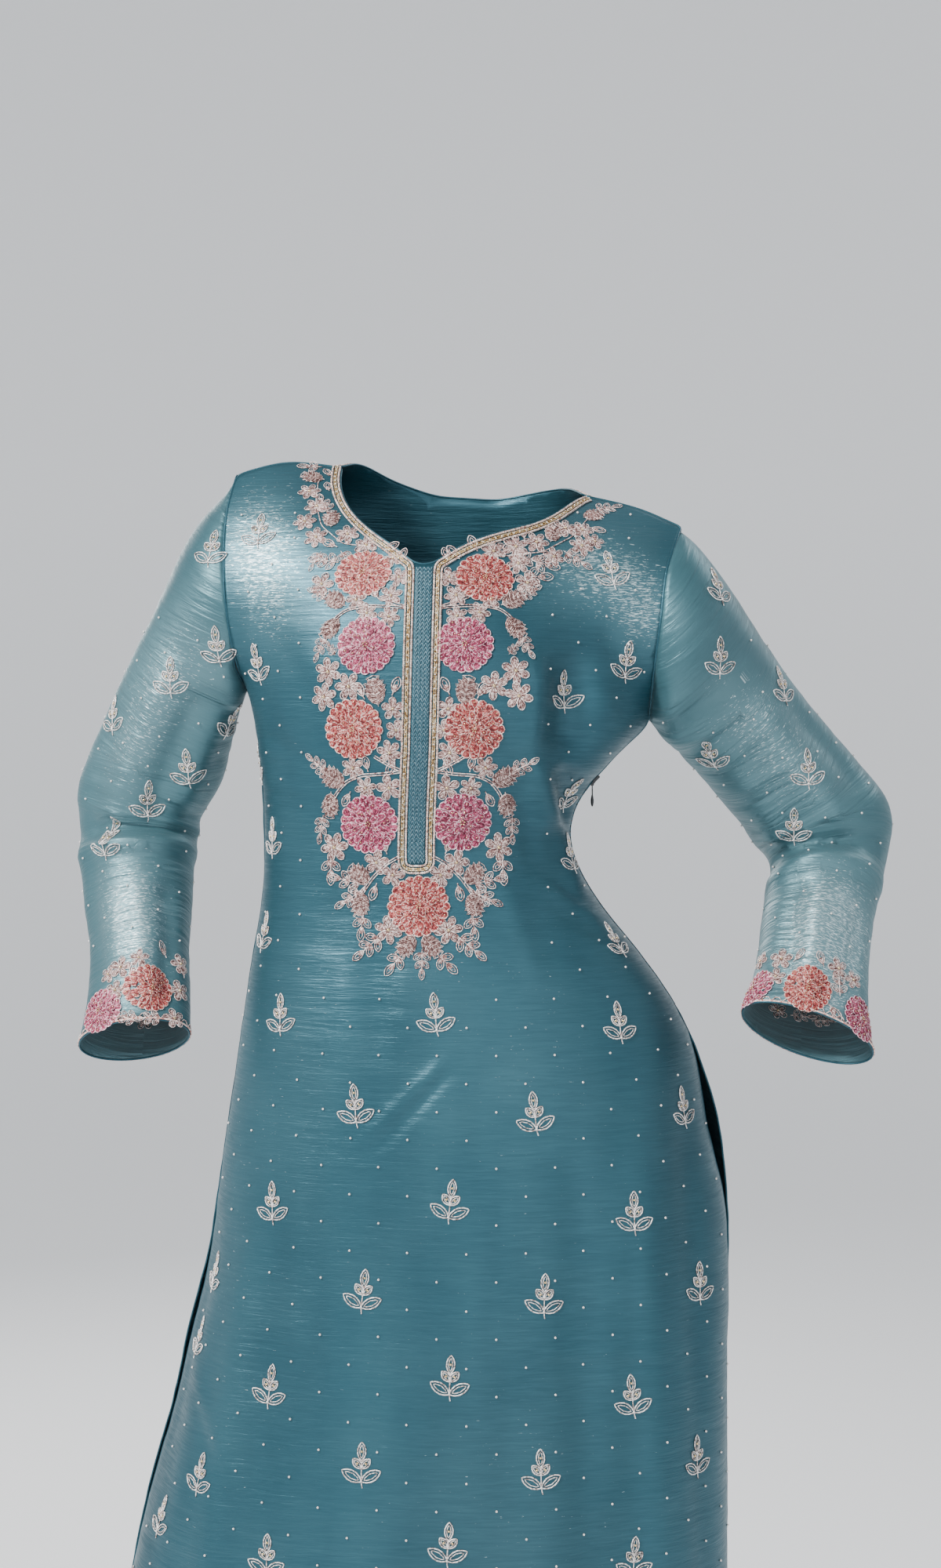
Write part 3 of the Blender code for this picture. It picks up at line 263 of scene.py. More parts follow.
# in the three-colour threads and satins below, the darkest colour is painted shade between stitches and the palest a
# painted highlight
zari = metalThread("roseSilverThread", [(0.24, 0.095, 0.085), (0.93, 0.71, 0.66), (1.0, 0.97, 0.94)], 0.32, 0.25)
sprigThread = metalThread("paleSilverThread", [(0.26, 0.19, 0.17), (0.95, 0.89, 0.86), (1.0, 1.0, 1.0)], 0.30, 0.25)
zariFill = metalThread("roseSilverSatin", [(0.07, 0.028, 0.027), (0.34, 0.18, 0.165), (0.90, 0.72, 0.67)], 0.38, 0.25)
goldThread = metalThread("goldThread", [(0.26, 0.13, 0.04), (0.78, 0.54, 0.24), (1.0, 0.92, 0.74)], 0.30, 0.6)
roseCord = metalThread("roseCord", [(0.34, 0.18, 0.14), (0.88, 0.68, 0.60), (1.0, 0.94, 0.88)], 0.32, 0.35)
coralSatin = metalThread("coralSatin", [(0.10, 0.006, 0.010), (0.33, 0.034, 0.036), (0.72, 0.25, 0.21)], 0.42, 0.1)
pinkSatin = metalThread("pinkSatin", [(0.09, 0.004, 0.020), (0.27, 0.018, 0.066), (0.66, 0.17, 0.29)], 0.42, 0.1)
coralEdge = metalThread("paleCoralThread", [(0.48, 0.13, 0.10), (0.94, 0.66, 0.58), (1.0, 0.95, 0.91)], 0.34, 0.25)
pinkEdge = metalThread("palePinkThread", [(0.46, 0.10, 0.17), (0.93, 0.62, 0.69), (1.0, 0.94, 0.95)], 0.34, 0.25)
ribbonCloth = metalThread("placketRibbon", [(0.014, 0.070, 0.100), (0.032, 0.115, 0.155)], 0.55, 0.15)
ribbonThread = metalThread("placketThread", [(0.060, 0.170, 0.225), (0.24, 0.38, 0.45)], 0.42, 0.3)
hemThread = metalThread("hemThread", [(0.012, 0.090, 0.125), (0.030, 0.150, 0.190)], 0.5, 0.15)
darkCloth = metalThread("darkTurning", [(0.006, 0.045, 0.065), (0.012, 0.085, 0.115)], 0.55, 0.2)
pearl = newMaterial("pearlBead", (0.82, 0.78, 0.74), 0.16, 0.15, Coat_Weight=0.6, Coat_Roughness=0.08)
goldBead = newMaterial("goldBead", (0.86, 0.66, 0.36), 0.2, 0.95)
blackMetal = newMaterial("blackEnamel", (0.012, 0.013, 0.016), 0.28, 0.6, Coat_Weight=0.5)
print("materials made")


# cloth: each panel is the outer side of its solid, smoothed, creased and given its thickness
def outerSkin(nodeName, pieceName, wall=1.7 * mm, merge=0.03 * mm, flat=math.radians(70)):
    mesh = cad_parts[nodeName].data.copy()
    mesh.materials.clear()
    obj = linkNew(pieceName, mesh)
    pickOnly(obj)
    bpy.ops.object.mode_set(mode="EDIT")
    bpy.ops.mesh.select_all(action="SELECT")
    bpy.ops.mesh.remove_doubles(threshold=merge)
    bpy.ops.mesh.customdata_custom_splitnormals_clear()
    bpy.ops.mesh.select_mode(type="FACE")
    bpy.ops.mesh.select_all(action="DESELECT")
    bpy.ops.object.mode_set(mode="OBJECT")
    points = mesh.vertices
    for face in mesh.polygons:  # the narrow faces round the edge of the wall
        loop = list(face.vertices)
        sides = [(points[a].co - points[b].co).length for a, b in zip(loop, loop[1:] + loop[:1])]
        face.select = min(sides) < wall
    bpy.ops.object.mode_set(mode="EDIT")
    bpy.ops.mesh.delete(type="FACE")
    bpy.ops.mesh.select_all(action="SELECT")
    bpy.ops.mesh.separate(type="LOOSE")
    bpy.ops.object.mode_set(mode="OBJECT")
    skins = sorted(bpy.context.selected_objects, key=lambda o: -sum(f.area for f in o.data.polygons))
    for inner in skins[1:]:
        bpy.data.objects.remove(inner)
    skin = pickOnly(skins[0])
    skin.name = pieceName
    bpy.ops.object.mode_set(mode="EDIT")
    bpy.ops.mesh.select_all(action="SELECT")
    bpy.ops.mesh.tris_convert_to_quads(face_threshold=flat, shape_threshold=flat)
    bpy.ops.object.mode_set(mode="OBJECT")
    return skin


# one more row of points between each two, under the height below
def splitRows(skin, below):
    pickOnly(skin)
    bpy.ops.object.mode_set(mode="EDIT")
    bpy.ops.mesh.select_mode(type="EDGE")
    bpy.ops.mesh.select_all(action="DESELECT")
    bpy.ops.object.mode_set(mode="OBJECT")
    points = skin.data.vertices
    for edge in skin.data.edges:
        a, b = (points[n].co for n in edge.vertices)
        edge.select = max(a.z, b.z) < below and abs(a.z - b.z) > 0.75 * (a - b).length
    bpy.ops.object.mode_set(mode="EDIT")
    bpy.ops.mesh.subdivide(number_cuts=1)
    bpy.ops.object.mode_set(mode="OBJECT")


crease = {"overrun": 0.1, "fade": 0.35, "reach": 2.6}  # shares of its length, and widths


# push of soft troughs and ridges, each between two ends given in the same two coordinates
def creaseDepth(creases, a, b):
    push, over = 0.0, crease["overrun"]
    for a1, b1, a2, b2, width, depth in creases:
        runA, runB = (a2 - a1) * mm, (b2 - b1) * mm
        offA, offB = a - a1 * mm, b - b1 * mm
        share = (offA * runA + offB * runB) / (runA * runA + runB * runB)
        if not -over < share < 1 + over:
            continue
        across = math.hypot(offA - runA * share, offB - runB * share) / (width * mm)
        if across < crease["reach"]:
            fade = smoothStep((share + over) / crease["fade"]) * smoothStep((1 + over - share) / crease["fade"])
            push += depth * mm * fade * math.exp(-across * across)
    return push


# gentle noise over a panel; form holds how many a metre across and down, and the depth in mm
def waves(point, form, shift=(0, 0, 0)):
    across, down, size = form
    return noise.noise(Vector((point.x * across, point.y * across, point.z * down)) + Vector(shift)) * size * mm


# smooths, creases and thickens a skin; returns the piece, and the tree and open edges of its outer side
def finishCloth(skin, levels, push, material, thickness=0.8 * mm, rows=None):
    applyModifier(skin, "SUBSURF", levels=levels, render_levels=levels, use_limit_surface=True,
                  boundary_smooth="PRESERVE_CORNERS")
    if rows is not None:
        splitRows(skin, rows)
    mesh = skin.data
    normals = [v.normal.copy() for v in mesh.vertices]
    for point, normal in zip(mesh.vertices, normals):
        point.co += normal * push(point.co)
    mesh.update()
    tree = BVHTree.FromPolygons([v.co.copy() for v in mesh.vertices], [tuple(f.vertices) for f in mesh.polygons])
    edges = openEdges(mesh)
    applyModifier(skin, "SOLIDIFY", thickness=thickness, offset=-1, use_even_offset=False)
    mesh.materials.clear()
    mesh.materials.append(material)
    pickOnly(skin)
    bpy.ops.object.shade_smooth()
    return {"piece": skin, "tree": tree, "edges": edges}


# the boundary loops of a sheet, each a list of points in order
def openEdges(mesh):
    uses = {}
    for face in mesh.polygons:
        for key in face.edge_keys:
            uses[key] = uses.get(key, 0) + 1
    beside = {}
    for (a, b), count in uses.items():
        if count == 1:
            beside.setdefault(a, []).append(b)
            beside.setdefault(b, []).append(a)
    loops = []
    left = set(beside)
    while left:
        start = min(left)
        loop, last, now = [start], None, start
        left.discard(start)
        while True:
            ways = [n for n in beside[now] if n != last and n in left]
            if not ways:
                break
            last, now = now, ways[0]
            left.discard(now)
            loop.append(now)
        loops.append([mesh.vertices[n].co.copy() for n in loop])
    return loops


# the stretch of a cloth's edge from start to end that passes via; the three are points in mm
def edgeRun(cloth, start, via, end):
    start, via, end = (Vector(p) * mm for p in (start, via, end))
    loop = min(cloth["edges"], key=lambda pts: min((p - via).length for p in pts))
    at = [min(range(len(loop)), key=lambda n: (loop[n] - p).length) for p in (start, via, end)]
    count = len(loop)
    forward = [(at[0] + n) % count for n in range((at[2] - at[0]) % count + 1)]
    backward = [(at[0] - n) % count for n in range((at[0] - at[2]) % count + 1)]
    return [loop[n] for n in (forward if at[1] in forward else backward)]


# how far along it each point of a line is
def runningLengths(points):
    lengths = [0.0]
    for a, b in zip(points, points[1:]):
        lengths.append(lengths[-1] + (b - a).length)
    return lengths


# the same line with a point every step
def evenly(points, step):
    lengths = runningLengths(points)
    count = max(2, round(lengths[-1] / step))
    result, k = [], 0
    for n in range(count + 1):
        want = lengths[-1] * n / count
        while k < len(points) - 2 and lengths[k + 1] < want:
            k += 1
        span = lengths[k + 1] - lengths[k]
        result.append(points[k].lerp(points[k + 1], (want - lengths[k]) / span if span else 0.0))
    return result


# rounds off the corners of a line
def eased(points, rounds):
    for _ in range(rounds):
        points = [points[0]] + [
            (a + b * 2 + c) / 4 for a, b, c in zip(points, points[1:], points[2:])
        ] + [points[-1]]
    return points


body = {"levels": 2, "rows": -0.20, "ripple": (16, 75, 0.5), "soft": (9, 14, 1.1)}  # forms as waves has them
frontCloth = {
    "yoke": (-0.06, 0.05, 0.4),  # flatter above this height, over this reach, with this share of the creases
    "rippleShift": (0, 0, 0), "softShift": (0, 0, 7),
    "creases": (  # x, z of both ends, width, depth: mm
        (-9, -469, -84, -545, 5, 2.6),       # drag line across the hip
        (-3, -475, -76, -550, 5, -2.4),
        (62, -704, 168, -709, 4, 1.6),       # old fold line across the skirt
        (66, -710, 160, -715, 5, -1.2),
        (62, -150, 56, -236, 10, 6.0),       # drape that falls from the bust to the side
        (56, -230, 76, -292, 10, 7.0),
        (76, -284, 98, -344, 8, 3.5),
        (92, -150, 86, -236, 17, -15.0),
        (84, -236, 92, -292, 12, -8.0),
        (44, -232, 58, -330, 8, -1.8),
        (-72, -378, -66, -475, 12, -2.0),
        (-98, -395, -90, -500, 10, 1.2),
        (-46, -395, -44, -470, 9, 1.5),
        (30, -330, 66, -420, 10, 1.4),
        (60, -318, 104, -356, 6, -1.6),
        (66, -334, 112, -364, 5, 1.3),
        (70, -350, 118, -380, 6, -1.2),
        (-150, -135, -120, -190, 9, -1.3),
        (-158, -160, -132, -230, 8, 1.2),
        (-163, -215, -120, -236, 6, -1.2),
        (-162, -250, -122, -262, 6, 1.0),
        (112, -125, 140, -172, 9, -1.5),
        (96, -150, 128, -205, 8, 1.3),
        (-206, -600, -262, -900, 12, -4.0),
        (-168, -600, -212, -960, 14, 3.4),
        (-150, -870, -236, -700, 7, 1.2),
        (-132, -905, -226, -745, 7, -1.0),
        (6, -540, 14, -1080, 20, 3.0),
        (88, -520, 104, -1090, 18, -3.6),
        (146, -500, 164, -1090, 15, 3.6),
        (180, -460, 200, -1000, 12, -3.4),
        (-66, -560, -84, -1080, 20, -3.2),
        (-122, -520, -146, -1040, 16, 3.0),
    ),
}


backCloth = {
    "yoke": None,
    "rippleShift": (5, 0, 0), "softShift": (3, 0, 0),
    "creases": (
        (-150, -120, -120, -200, 9, -1.5), (120, -130, 100, -205, 9, -1.5),
        (-130, -150, -90, -225, 8, 1.3), (105, -160, 72, -230, 8, 1.3),
        (-100, -255, -40, -300, 7, -2.0), (-110, -285, -30, -322, 7, 1.8),
        (60, -262, 10, -305, 7, -2.0), (70, -292, 5, -330, 7, 1.6),
        (-60, -330, -90, -470, 12, -2.0), (10, -340, 20, -480, 12, 2.0),
        (70, -350, 110, -480, 12, -1.8), (-120, -540, -152, -1060, 16, 3.2),
        (-40, -530, -56, -1080, 18, -3.4), (40, -520, 48, -1090, 19, 3.2),
        (108, -500, 128, -1070, 16, -3.4), (168, -520, 186, -1020, 13, 3.0),
        (-180, -580, -232, -1000, 13, -3.2),
    ),
}


# 0 at the side seams, where front and back are sewn together, and 1 away from them
def seamHold(point):
    return smoothStep((abs(point.y) - 0.011) / 0.028)


def bodyPush(shape):
    def push(point):
        creases = creaseDepth(shape["creases"], point.x, point.z)
        soft = waves(point, body["soft"], shape["softShift"])
        if shape["yoke"]:
            height, reach, least = shape["yoke"]
            steady = smoothStep((height - point.z) / reach)
            creases *= least + (1 - least) * steady
            soft *= steady
        return creases * seamHold(point) + waves(point, body["ripple"], shape["rippleShift"]) + soft
    return push


front = finishCloth(outerSkin("kameez_front", "kameezFrontCloth"), body["levels"], bodyPush(frontCloth), silk,
                    rows=body["rows"])
back = finishCloth(outerSkin("kameez_back", "kameezBackCloth"), body["levels"], bodyPush(backCloth), silk,
                   rows=body["rows"])

# middle line of each sleeve, mm, and its creases: share down the arm, turn round it from the front,
# length round, share wide, depth in mm
sleeves = {
    "right": {
        "line": ((-205, 10, -95), (-223, 24, -145), (-250, 44, -204), (-265, 54, -238), (-282, 54, -291),
                 (-280, 43, -323), (-277, 26, -360), (-272, 6, -395), (-270, -18, -428), (-270, -45, -465)),
        "creases": (
            (0.10, 0.10, 0.16, 0.012, -1.4), (0.14, 0.16, 0.15, 0.012, 1.3), (0.19, 0.12, 0.18, 0.012, -1.5),
            (0.24, 0.18, 0.14, 0.012, 1.2), (0.30, 0.20, 0.14, 0.013, -1.2), (0.46, 0.16, 0.22, 0.014, -2.4),
            (0.50, 0.18, 0.22, 0.014, 2.2), (0.54, 0.14, 0.20, 0.014, -2.4), (0.58, 0.18, 0.18, 0.014, 2.0),
            (0.62, 0.14, 0.16, 0.013, -1.6), (0.52, -0.06, 0.16, 0.018, 1.8), (0.57, -0.08, 0.18, 0.016, -1.8),
            (0.66, 0.02, 0.14, 0.014, 1.2), (0.72, 0.10, 0.14, 0.013, -1.1), (0.40, -0.10, 0.14, 0.016, 1.2),
            (0.50, -0.40, 0.16, 0.016, 1.6), (0.56, -0.44, 0.18, 0.016, -1.6), (0.12, -0.42, 0.14, 0.014, 1.2),
            (0.18, -0.40, 0.16, 0.014, -1.2), (0.540, -0.02, 0.30, 0.020, -8.0), (0.590, -0.02, 0.30, 0.020, 6.0),
        ),
        "folds": (  # turn round the arm, share at both ends, width in turns, depth in mm
            (-0.04, 0.08, 0.52, 0.040, 3.0), (0.05, 0.12, 0.56, 0.036, -3.2), (0.13, 0.10, 0.50, 0.036, 2.6),
            (-0.13, 0.22, 0.95, 0.045, -2.4), (0.04, 0.62, 1.02, 0.045, 2.4), (0.12, 0.62, 1.02, 0.040, -2.6),
            (0.46, 0.12, 0.54, 0.040, 2.8), (0.37, 0.20, 0.60, 0.040, -2.8), (0.50, 0.64, 1.0, 0.05, -2.2),
        ),
        # painted highlight patches round the arm
        "paintedHighlight": ((0.74, 0.00, 0.14, 0.13, 1.0), (0.92, 0.02, 0.12, 0.12, 0.6), (0.30, -0.06, 0.20, 0.13, 0.75),
                  (0.12, 0.00, 0.08, 0.14, 0.4)),  # share, turn, both spreads, strength
        "lean": 0.30,
    },
    "left": {
        "line": ((183, -14, -135), (205, -1, -160), (216, 14, -175), (242, 32, -200), (265, 50, -228),
                 (292, 64, -258), (312, 68, -290), (316, 58, -322), (308, 40, -354), (298, 10, -394),
                 (288, -22, -431), (284, -45, -459)),
        "creases": (
            (0.08, -0.10, 0.20, 0.011, -1.8), (0.12, -0.06, 0.20, 0.011, 1.6), (0.16, -0.12, 0.20, 0.011, -1.9),
            (0.20, -0.06, 0.18, 0.011, 1.5), (0.24, -0.12, 0.18, 0.012, -1.6), (0.29, -0.06, 0.16, 0.012, 1.3),
            (0.34, -0.12, 0.14, 0.012, -1.2), (0.50, -0.16, 0.20, 0.014, 2.0), (0.55, -0.14, 0.20, 0.014, -2.6),
            (0.59, -0.18, 0.22, 0.014, 2.4), (0.63, -0.14, 0.22, 0.014, -2.6), (0.67, -0.16, 0.18, 0.014, 2.0),
            (0.72, -0.12, 0.16, 0.013, -1.4), (0.58, 0.10, 0.14, 0.016, 1.6), (0.64, 0.08, 0.16, 0.016, -1.6),
            (0.78, -0.04, 0.14, 0.013, 1.0), (0.55, 0.44, 0.16, 0.016, 1.6), (0.61, 0.40, 0.18, 0.016, -1.6),
            (0.14, 0.42, 0.14, 0.014, 1.2), (0.20, 0.40, 0.16, 0.014, -1.2),
            (0.585, -0.02, 0.32, 0.022, -9.0), (0.640, 0.02, 0.28, 0.020, 6.5),
        ),
        "folds": (
            (-0.06, 0.06, 0.55, 0.040, -2.6), (0.03, 0.10, 0.58, 0.040, 2.8), (0.12, 0.16, 0.52, 0.036, -2.2),
            (-0.14, 0.30, 0.66, 0.040, 2.4), (-0.03, 0.66, 1.02, 0.045, 2.4), (-0.11, 0.66, 1.02, 0.040, -2.8),
            (0.10, 0.64, 1.02, 0.040, -2.0), (0.46, 0.12, 0.56, 0.040, 2.8), (0.37, 0.20, 0.60, 0.040, -2.8),
            (0.50, 0.66, 1.0, 0.05, -2.2),
        ),
        # painted highlight patches round the arm
        "paintedHighlight": ((0.80, 0.02, 0.13, 0.17, 1.4), (0.95, 0.00, 0.10, 0.15, 0.9), (0.28, 0.00, 0.20, 0.14, 0.75),
                  (0.12, 0.04, 0.08, 0.14, 0.3)),
        "lean": -0.30,
    },
}
sleeveForm = {
    "depth": 1.5,  # all the depths above times this
    "slant": 0.12, "foldFade": 0.12, "hold": (0.05, 1.02, 0.08),
    "ripple": (5, 70, 0.7), "soft": (3, 16, 1.4),  # a turn, a metre, depth in mm
    "rippleShift": {"left": 2.0, "right": 8.0}, "softShift": 5.0,
}
for shape in sleeves.values():
    shape["points"] = [Vector(point) * mm for point in shape["line"]]
    shape["lengths"] = runningLengths(shape["points"])


# the two directions across a stretch of the arm: to the front, and to +X
def armFrame(run):
    ahead = Vector((0, -1, 0))
    ahead = (ahead - run * (run.dot(ahead) / run.length_squared)).normalized()
    across = run.normalized().cross(ahead)
    return ahead, -across if across.x < 0 else across


# share down the arm, turn round it (0 at the front, positive to +X), distance down
def onArm(point, side):
    points, lengths = sleeves[side]["points"], sleeves[side]["lengths"]
    best = None
    for k, (a, b) in enumerate(zip(points, points[1:])):
        run = b - a
        share = (point - a).dot(run) / run.length_squared
        low, high = (-9 if k == 0 else 0), (9 if k == len(points) - 2 else 1)
        share = max(low, min(high, share))
        gap = (point - a - run * share).length
        if best is None or gap < best[0]:
            best = (gap, k, share)
    _, k, share = best
    run = points[k + 1] - points[k]
    off = point - points[k] - run * share
    ahead, across = armFrame(run)
    turn = math.atan2(off.dot(across), off.dot(ahead)) / (2 * math.pi)
    distance = lengths[k] + run.length * share
    return distance / lengths[-1], turn, distance


def turnGap(a, b):
    return min(abs(a - b), 1 - abs(a - b))


def sleevePush(side):
    shape, fadeOver = sleeves[side], sleeveForm["foldFade"]

    def push(point):
        share, turn, distance = onArm(point, side)
        depth = 0.0
        for down, around, reach, width, rise in shape["creases"]:
            gap = turnGap(turn, around)
            if gap < reach:
                slant = down + shape["lean"] * sleeveForm["slant"] * (turn - around)
                depth += rise * (math.cos(math.pi * gap / reach) + 1) / 2 * math.exp(-((share - slant) / width) ** 2)
        for around, low, high, width, rise in shape["folds"]:
            if low < share < high:
                fade = smoothStep((share - low) / fadeOver) * smoothStep((high - share) / fadeOver)
                depth += rise * fade * math.exp(-(turnGap(turn, around) / width) ** 2)
        depth *= sleeveForm["depth"]
        for kind, shift in (("ripple", sleeveForm["rippleShift"][side]), ("soft", sleeveForm["softShift"])):
            round_, down, size = sleeveForm[kind]
            depth += noise.noise(Vector((turn * round_, distance * down, shift))) * size
        start, end, reach = sleeveForm["hold"]
        return depth * mm * smoothStep(share / start) * smoothStep((end - share) / reach)

    return push


# painted highlight: a number at each point of the cloth, from 0 to 1, that its material reads to paint the silk paler
# there and crowd the glints
def paintHighlightAmount(piece, strength):
    layer = piece.data.attributes.new(name="paintedHighlightAmount", type="FLOAT", domain="POINT")
    for n, point in enumerate(piece.data.vertices):
        layer.data[n].value = max(0.0, min(1.0, strength(point.co)))


# painted highlight on a sleeve: patches down and round the arm, with a little noise
def armPaintedHighlight(side):
    def strength(point):
        share, turn, _ = onArm(point, side)
        total = 0.12 * noise.noise(point * 30)
        for down, around, reach, spread, most in sleeves[side]["paintedHighlight"]:
            total += most * math.exp(-((share - down) / reach) ** 2 - (turnGap(turn, around) / spread) ** 2)
        return total

    return strength


# painted highlight patches on the chest, hip and skirt
bodyPaintedHighlights = (  # x, z, both spreads, strength; the back has them at the same x, and weaker
    (-168, -52, 38, 46, 1.0), (-158, -110, 30, 40, 0.55), (108, -78, 46, 34, 0.95), (146, -110, 26, 34, 0.8),
    (-140, -470, 50, 90, 0.20), (50, -470, 60, 70, 0.20), (-190, -640, 30, 170, 0.20), (30, -900, 90, 160, 0.16),
    (-30, -400, 40, 40, 0.12),
)


# painted highlight on the body, with a little noise
def frontPaintedHighlight(point):
    total = 0.05
    for x, z, wide, tall, most in bodyPaintedHighlights:
        total += most * math.exp(-((point.x / mm - x) / wide) ** 2 - ((point.z / mm - z) / tall) ** 2)
    return total + 0.10 * noise.noise(point * 24)


# UV map in metres: round the arm, and down it
def armCoordinates(piece, side, girth=0.31):
    mesh = piece.data
    while mesh.uv_layers:
        mesh.uv_layers.remove(mesh.uv_layers[0])
    layer = mesh.uv_layers.new(name="cloth")
    place = [onArm(v.co, side)[1:] for v in mesh.vertices]
    for face in mesh.polygons:
        first = place[face.vertices[0]][0]
        for corner in face.loop_indices:
            turn, distance = place[mesh.loops[corner].vertex_index]
            layer.data[corner].uv = ((turn + round(first - turn)) * girth, distance)


for side in ("right", "left"):
    halves = [outerSkin(f"sleeve_{side}_{half}", f"sleeve{half.title()}") for half in ("upper", "lower")]
    skin = joinAll(halves, f"sleeve{side.title()}Cloth")
    bpy.ops.object.mode_set(mode="EDIT")
    bpy.ops.mesh.select_all(action="SELECT")
    bpy.ops.mesh.remove_doubles(threshold=0.7 * mm)  # the two solids meet at the elbow
    bpy.ops.object.mode_set(mode="OBJECT")
    sleeves[side]["cloth"] = finishCloth(skin, 2, sleevePush(side), organza, 0.6 * mm)
    armCoordinates(sleeves[side]["cloth"]["piece"], side)
    paintHighlightAmount(sleeves[side]["cloth"]["piece"], armPaintedHighlight(side))
# painted highlight on the front and, weaker, on the back
paintHighlightAmount(front["piece"], frontPaintedHighlight)
paintHighlightAmount(back["piece"], lambda point: 0.8 * frontPaintedHighlight(point))

legs = {
    "right": {"creases": ((-190, -860, -150, -930, 10, -2), (-100, -960, -150, -1040, 9, 2),
                          (-190, -1120, -120, -1150, 8, -2), (-100, -1180, -170, -1210, 7, 2.0),
                          (-190, -1240, -110, -1262, 7, -2), (-110, -1290, -180, -1306, 6, 1.8),
                          (-120, -760, -112, -1000, 10, 2.0), (-160, -1000, -166, -1250, 9, -1.6))},
    "left": {"creases": ((170, -860, 130, -930, 10, -2), (80, -960, 130, -1040, 9, 2),
                         (170, -1120, 100, -1150, 8, -2), (84, -1180, 150, -1210, 7, 2.0),
                         (166, -1240, 92, -1262, 7, -2), (90, -1290, 160, -1306, 6, 1.8),
                         (98, -760, 94, -1000, 10, 2.0), (138, -1000, 146, -1250, 9, -1.6))},
}
legWaves = {"ripple": (14, 60, 0.6), "soft": (10, 12, 1.6), "shift": {"right": (0, 0, 0), "left": (0, 0, 3)}}


def legPush(side):
    def push(point):
        free = smoothStep((-0.62 - point.z) / 0.1)
        return (creaseDepth(legs[side]["creases"], point.x, point.z) + waves(point, legWaves["soft"])
                + waves(point, legWaves["ripple"], legWaves["shift"][side])) * free
    return push


for side in ("right", "left"):
    skin = outerSkin(f"salwar_leg_{side}", f"salwarLeg{side.title()}Cloth")
    legs[side]["cloth"] = finishCloth(skin, 2, legPush(side), silk)
belt = finishCloth(outerSkin("salwar_waistband", "salwarWaistbandCloth", 2.4 * mm), 1,
                   lambda point: -3.2 * mm, silk, 1.6 * mm)
print("cloth panels made")


# putting things on the cloth
def nearest(cloth, place):
    return cloth["tree"].find_nearest(place)[:2]


# place and outward direction where a line of sight meets the cloth; a, b in mm
def cast(cloth, view, a, b):
    a, b = a * mm, b * mm
    start, way = {
        "front": ((a, -1, b), (0, 1, 0)), "back": ((a, 1, b), (0, -1, 0)),
        "left": ((1, a, b), (-1, 0, 0)), "right": ((-1, a, b), (1, 0, 0)),
    }[view]
    place, normal, _, _ = cloth["tree"].ray_cast(Vector(start), Vector(way))
    if place is None:
        return None
    return place, evenFacing(cloth, place, -normal if normal.dot(Vector(way)) > 0 else normal)


def evenFacing(cloth, place, normal, reach=5 * mm):
    across = normal.orthogonal().normalized()
    total = normal.copy()
    for step in (across, -across, normal.cross(across), -normal.cross(across)):
        other = nearest(cloth, place + step * reach)[1]
        total += other if other.dot(normal) > 0 else -other
    return total.normalized()


# point moved along facing onto the cloth, and lifted off it
def onCloth(cloth, point, facing, lift):
    place, normal, _, _ = cloth["tree"].ray_cast(point + facing * 0.03, -facing, 0.06)
    if place is None:
        near, normal = nearest(cloth, point)
        place = point + facing * (near - point).dot(facing)
    if normal.dot(facing) < 0:
        normal = -normal
    return place + (normal + facing).normalized() * lift, normal


# a copy of a flat motif, bent onto the cloth; turn is clockwise from up, in degrees
def layMotif(motif, cloth, place, facing, turn, size=1.0, tall=None):
    copy = linkNew("laid", motif.data.copy())
    up = (Vector((0, 0, 1)) - facing * facing.z).normalized()
    right = up.cross(facing)
    angle = math.radians(turn)
    along = up * math.cos(angle) + right * math.sin(angle)
    across = right * math.cos(angle) - up * math.sin(angle)
    tall = size if tall is None else tall
    for point in copy.data.vertices:
        x, y, z = point.co
        flat = place + across * (x * size) + along * (y * tall)
        point.co, _ = onCloth(cloth, flat, facing, z)
    return copy


# tubes along paths; each is (points, closed)
def threads(paths, radius, material, sides=0, name="thread"):
    curve = bpy.data.curves.new(name, "CURVE")
    curve.dimensions = "3D"
    curve.bevel_depth = radius
    curve.bevel_resolution = sides
    curve.use_fill_caps = True
    for points, closed in paths:
        spline = curve.splines.new("POLY")
        spline.points.add(len(points) - 1)
        for spot, place in zip(spline.points, points):
            spot.co = (*place, 1)
        spline.use_cyclic_u = closed
    obj = linkNew(name, curve)
    pickOnly(obj)
    bpy.ops.object.convert(target="MESH")
    obj = bpy.context.object
    obj.data.materials.clear()
    obj.data.materials.append(material)
    bpy.ops.object.shade_smooth()
    return obj


def bead(radius, material, place=(0, 0, 0), name="bead"):
    deselectAll()
    bpy.ops.mesh.primitive_ico_sphere_add(subdivisions=1, radius=radius, location=place)
    obj = bpy.context.object
    bpy.ops.object.transform_apply(location=True, rotation=True, scale=True)
    obj.name = name
    obj.data.materials.append(material)
    bpy.ops.object.shade_smooth()
    return obj


# motifs are made flat, in mm, and brought to metres once they're whole
def motifOf(parts, name):
    motif = joinAll(parts, name)
    motif.data.transform(Matrix.Scale(mm, 4))
    return motif


# the point at a distance from base, on a line that leans from +Y to +X
def polar(lean, distance, height=0.0, base=(0, 0)):
    return base[0] + distance * math.sin(lean), base[1] + distance * math.cos(lean), height


# points of a leaf outline that leaves base at an angle from +Y
def leafLoop(length, width, base=(0, 0), angle=0.0, height=0.0, points=12, sharp=1.35, belly=1.0):
    cos, sin = math.cos(math.radians(angle)), math.sin(math.radians(angle))
    loop = []
    for n in range(points):
        turn = 2 * math.pi * n / points
        x = width / 2 * math.copysign(abs(math.sin(turn)) ** sharp, math.sin(turn))
        y = length * ((1 - math.cos(turn)) / 2) ** belly
        loop.append((base[0] + x * cos + y * sin, base[1] + y * cos - x * sin, height))
    return loop


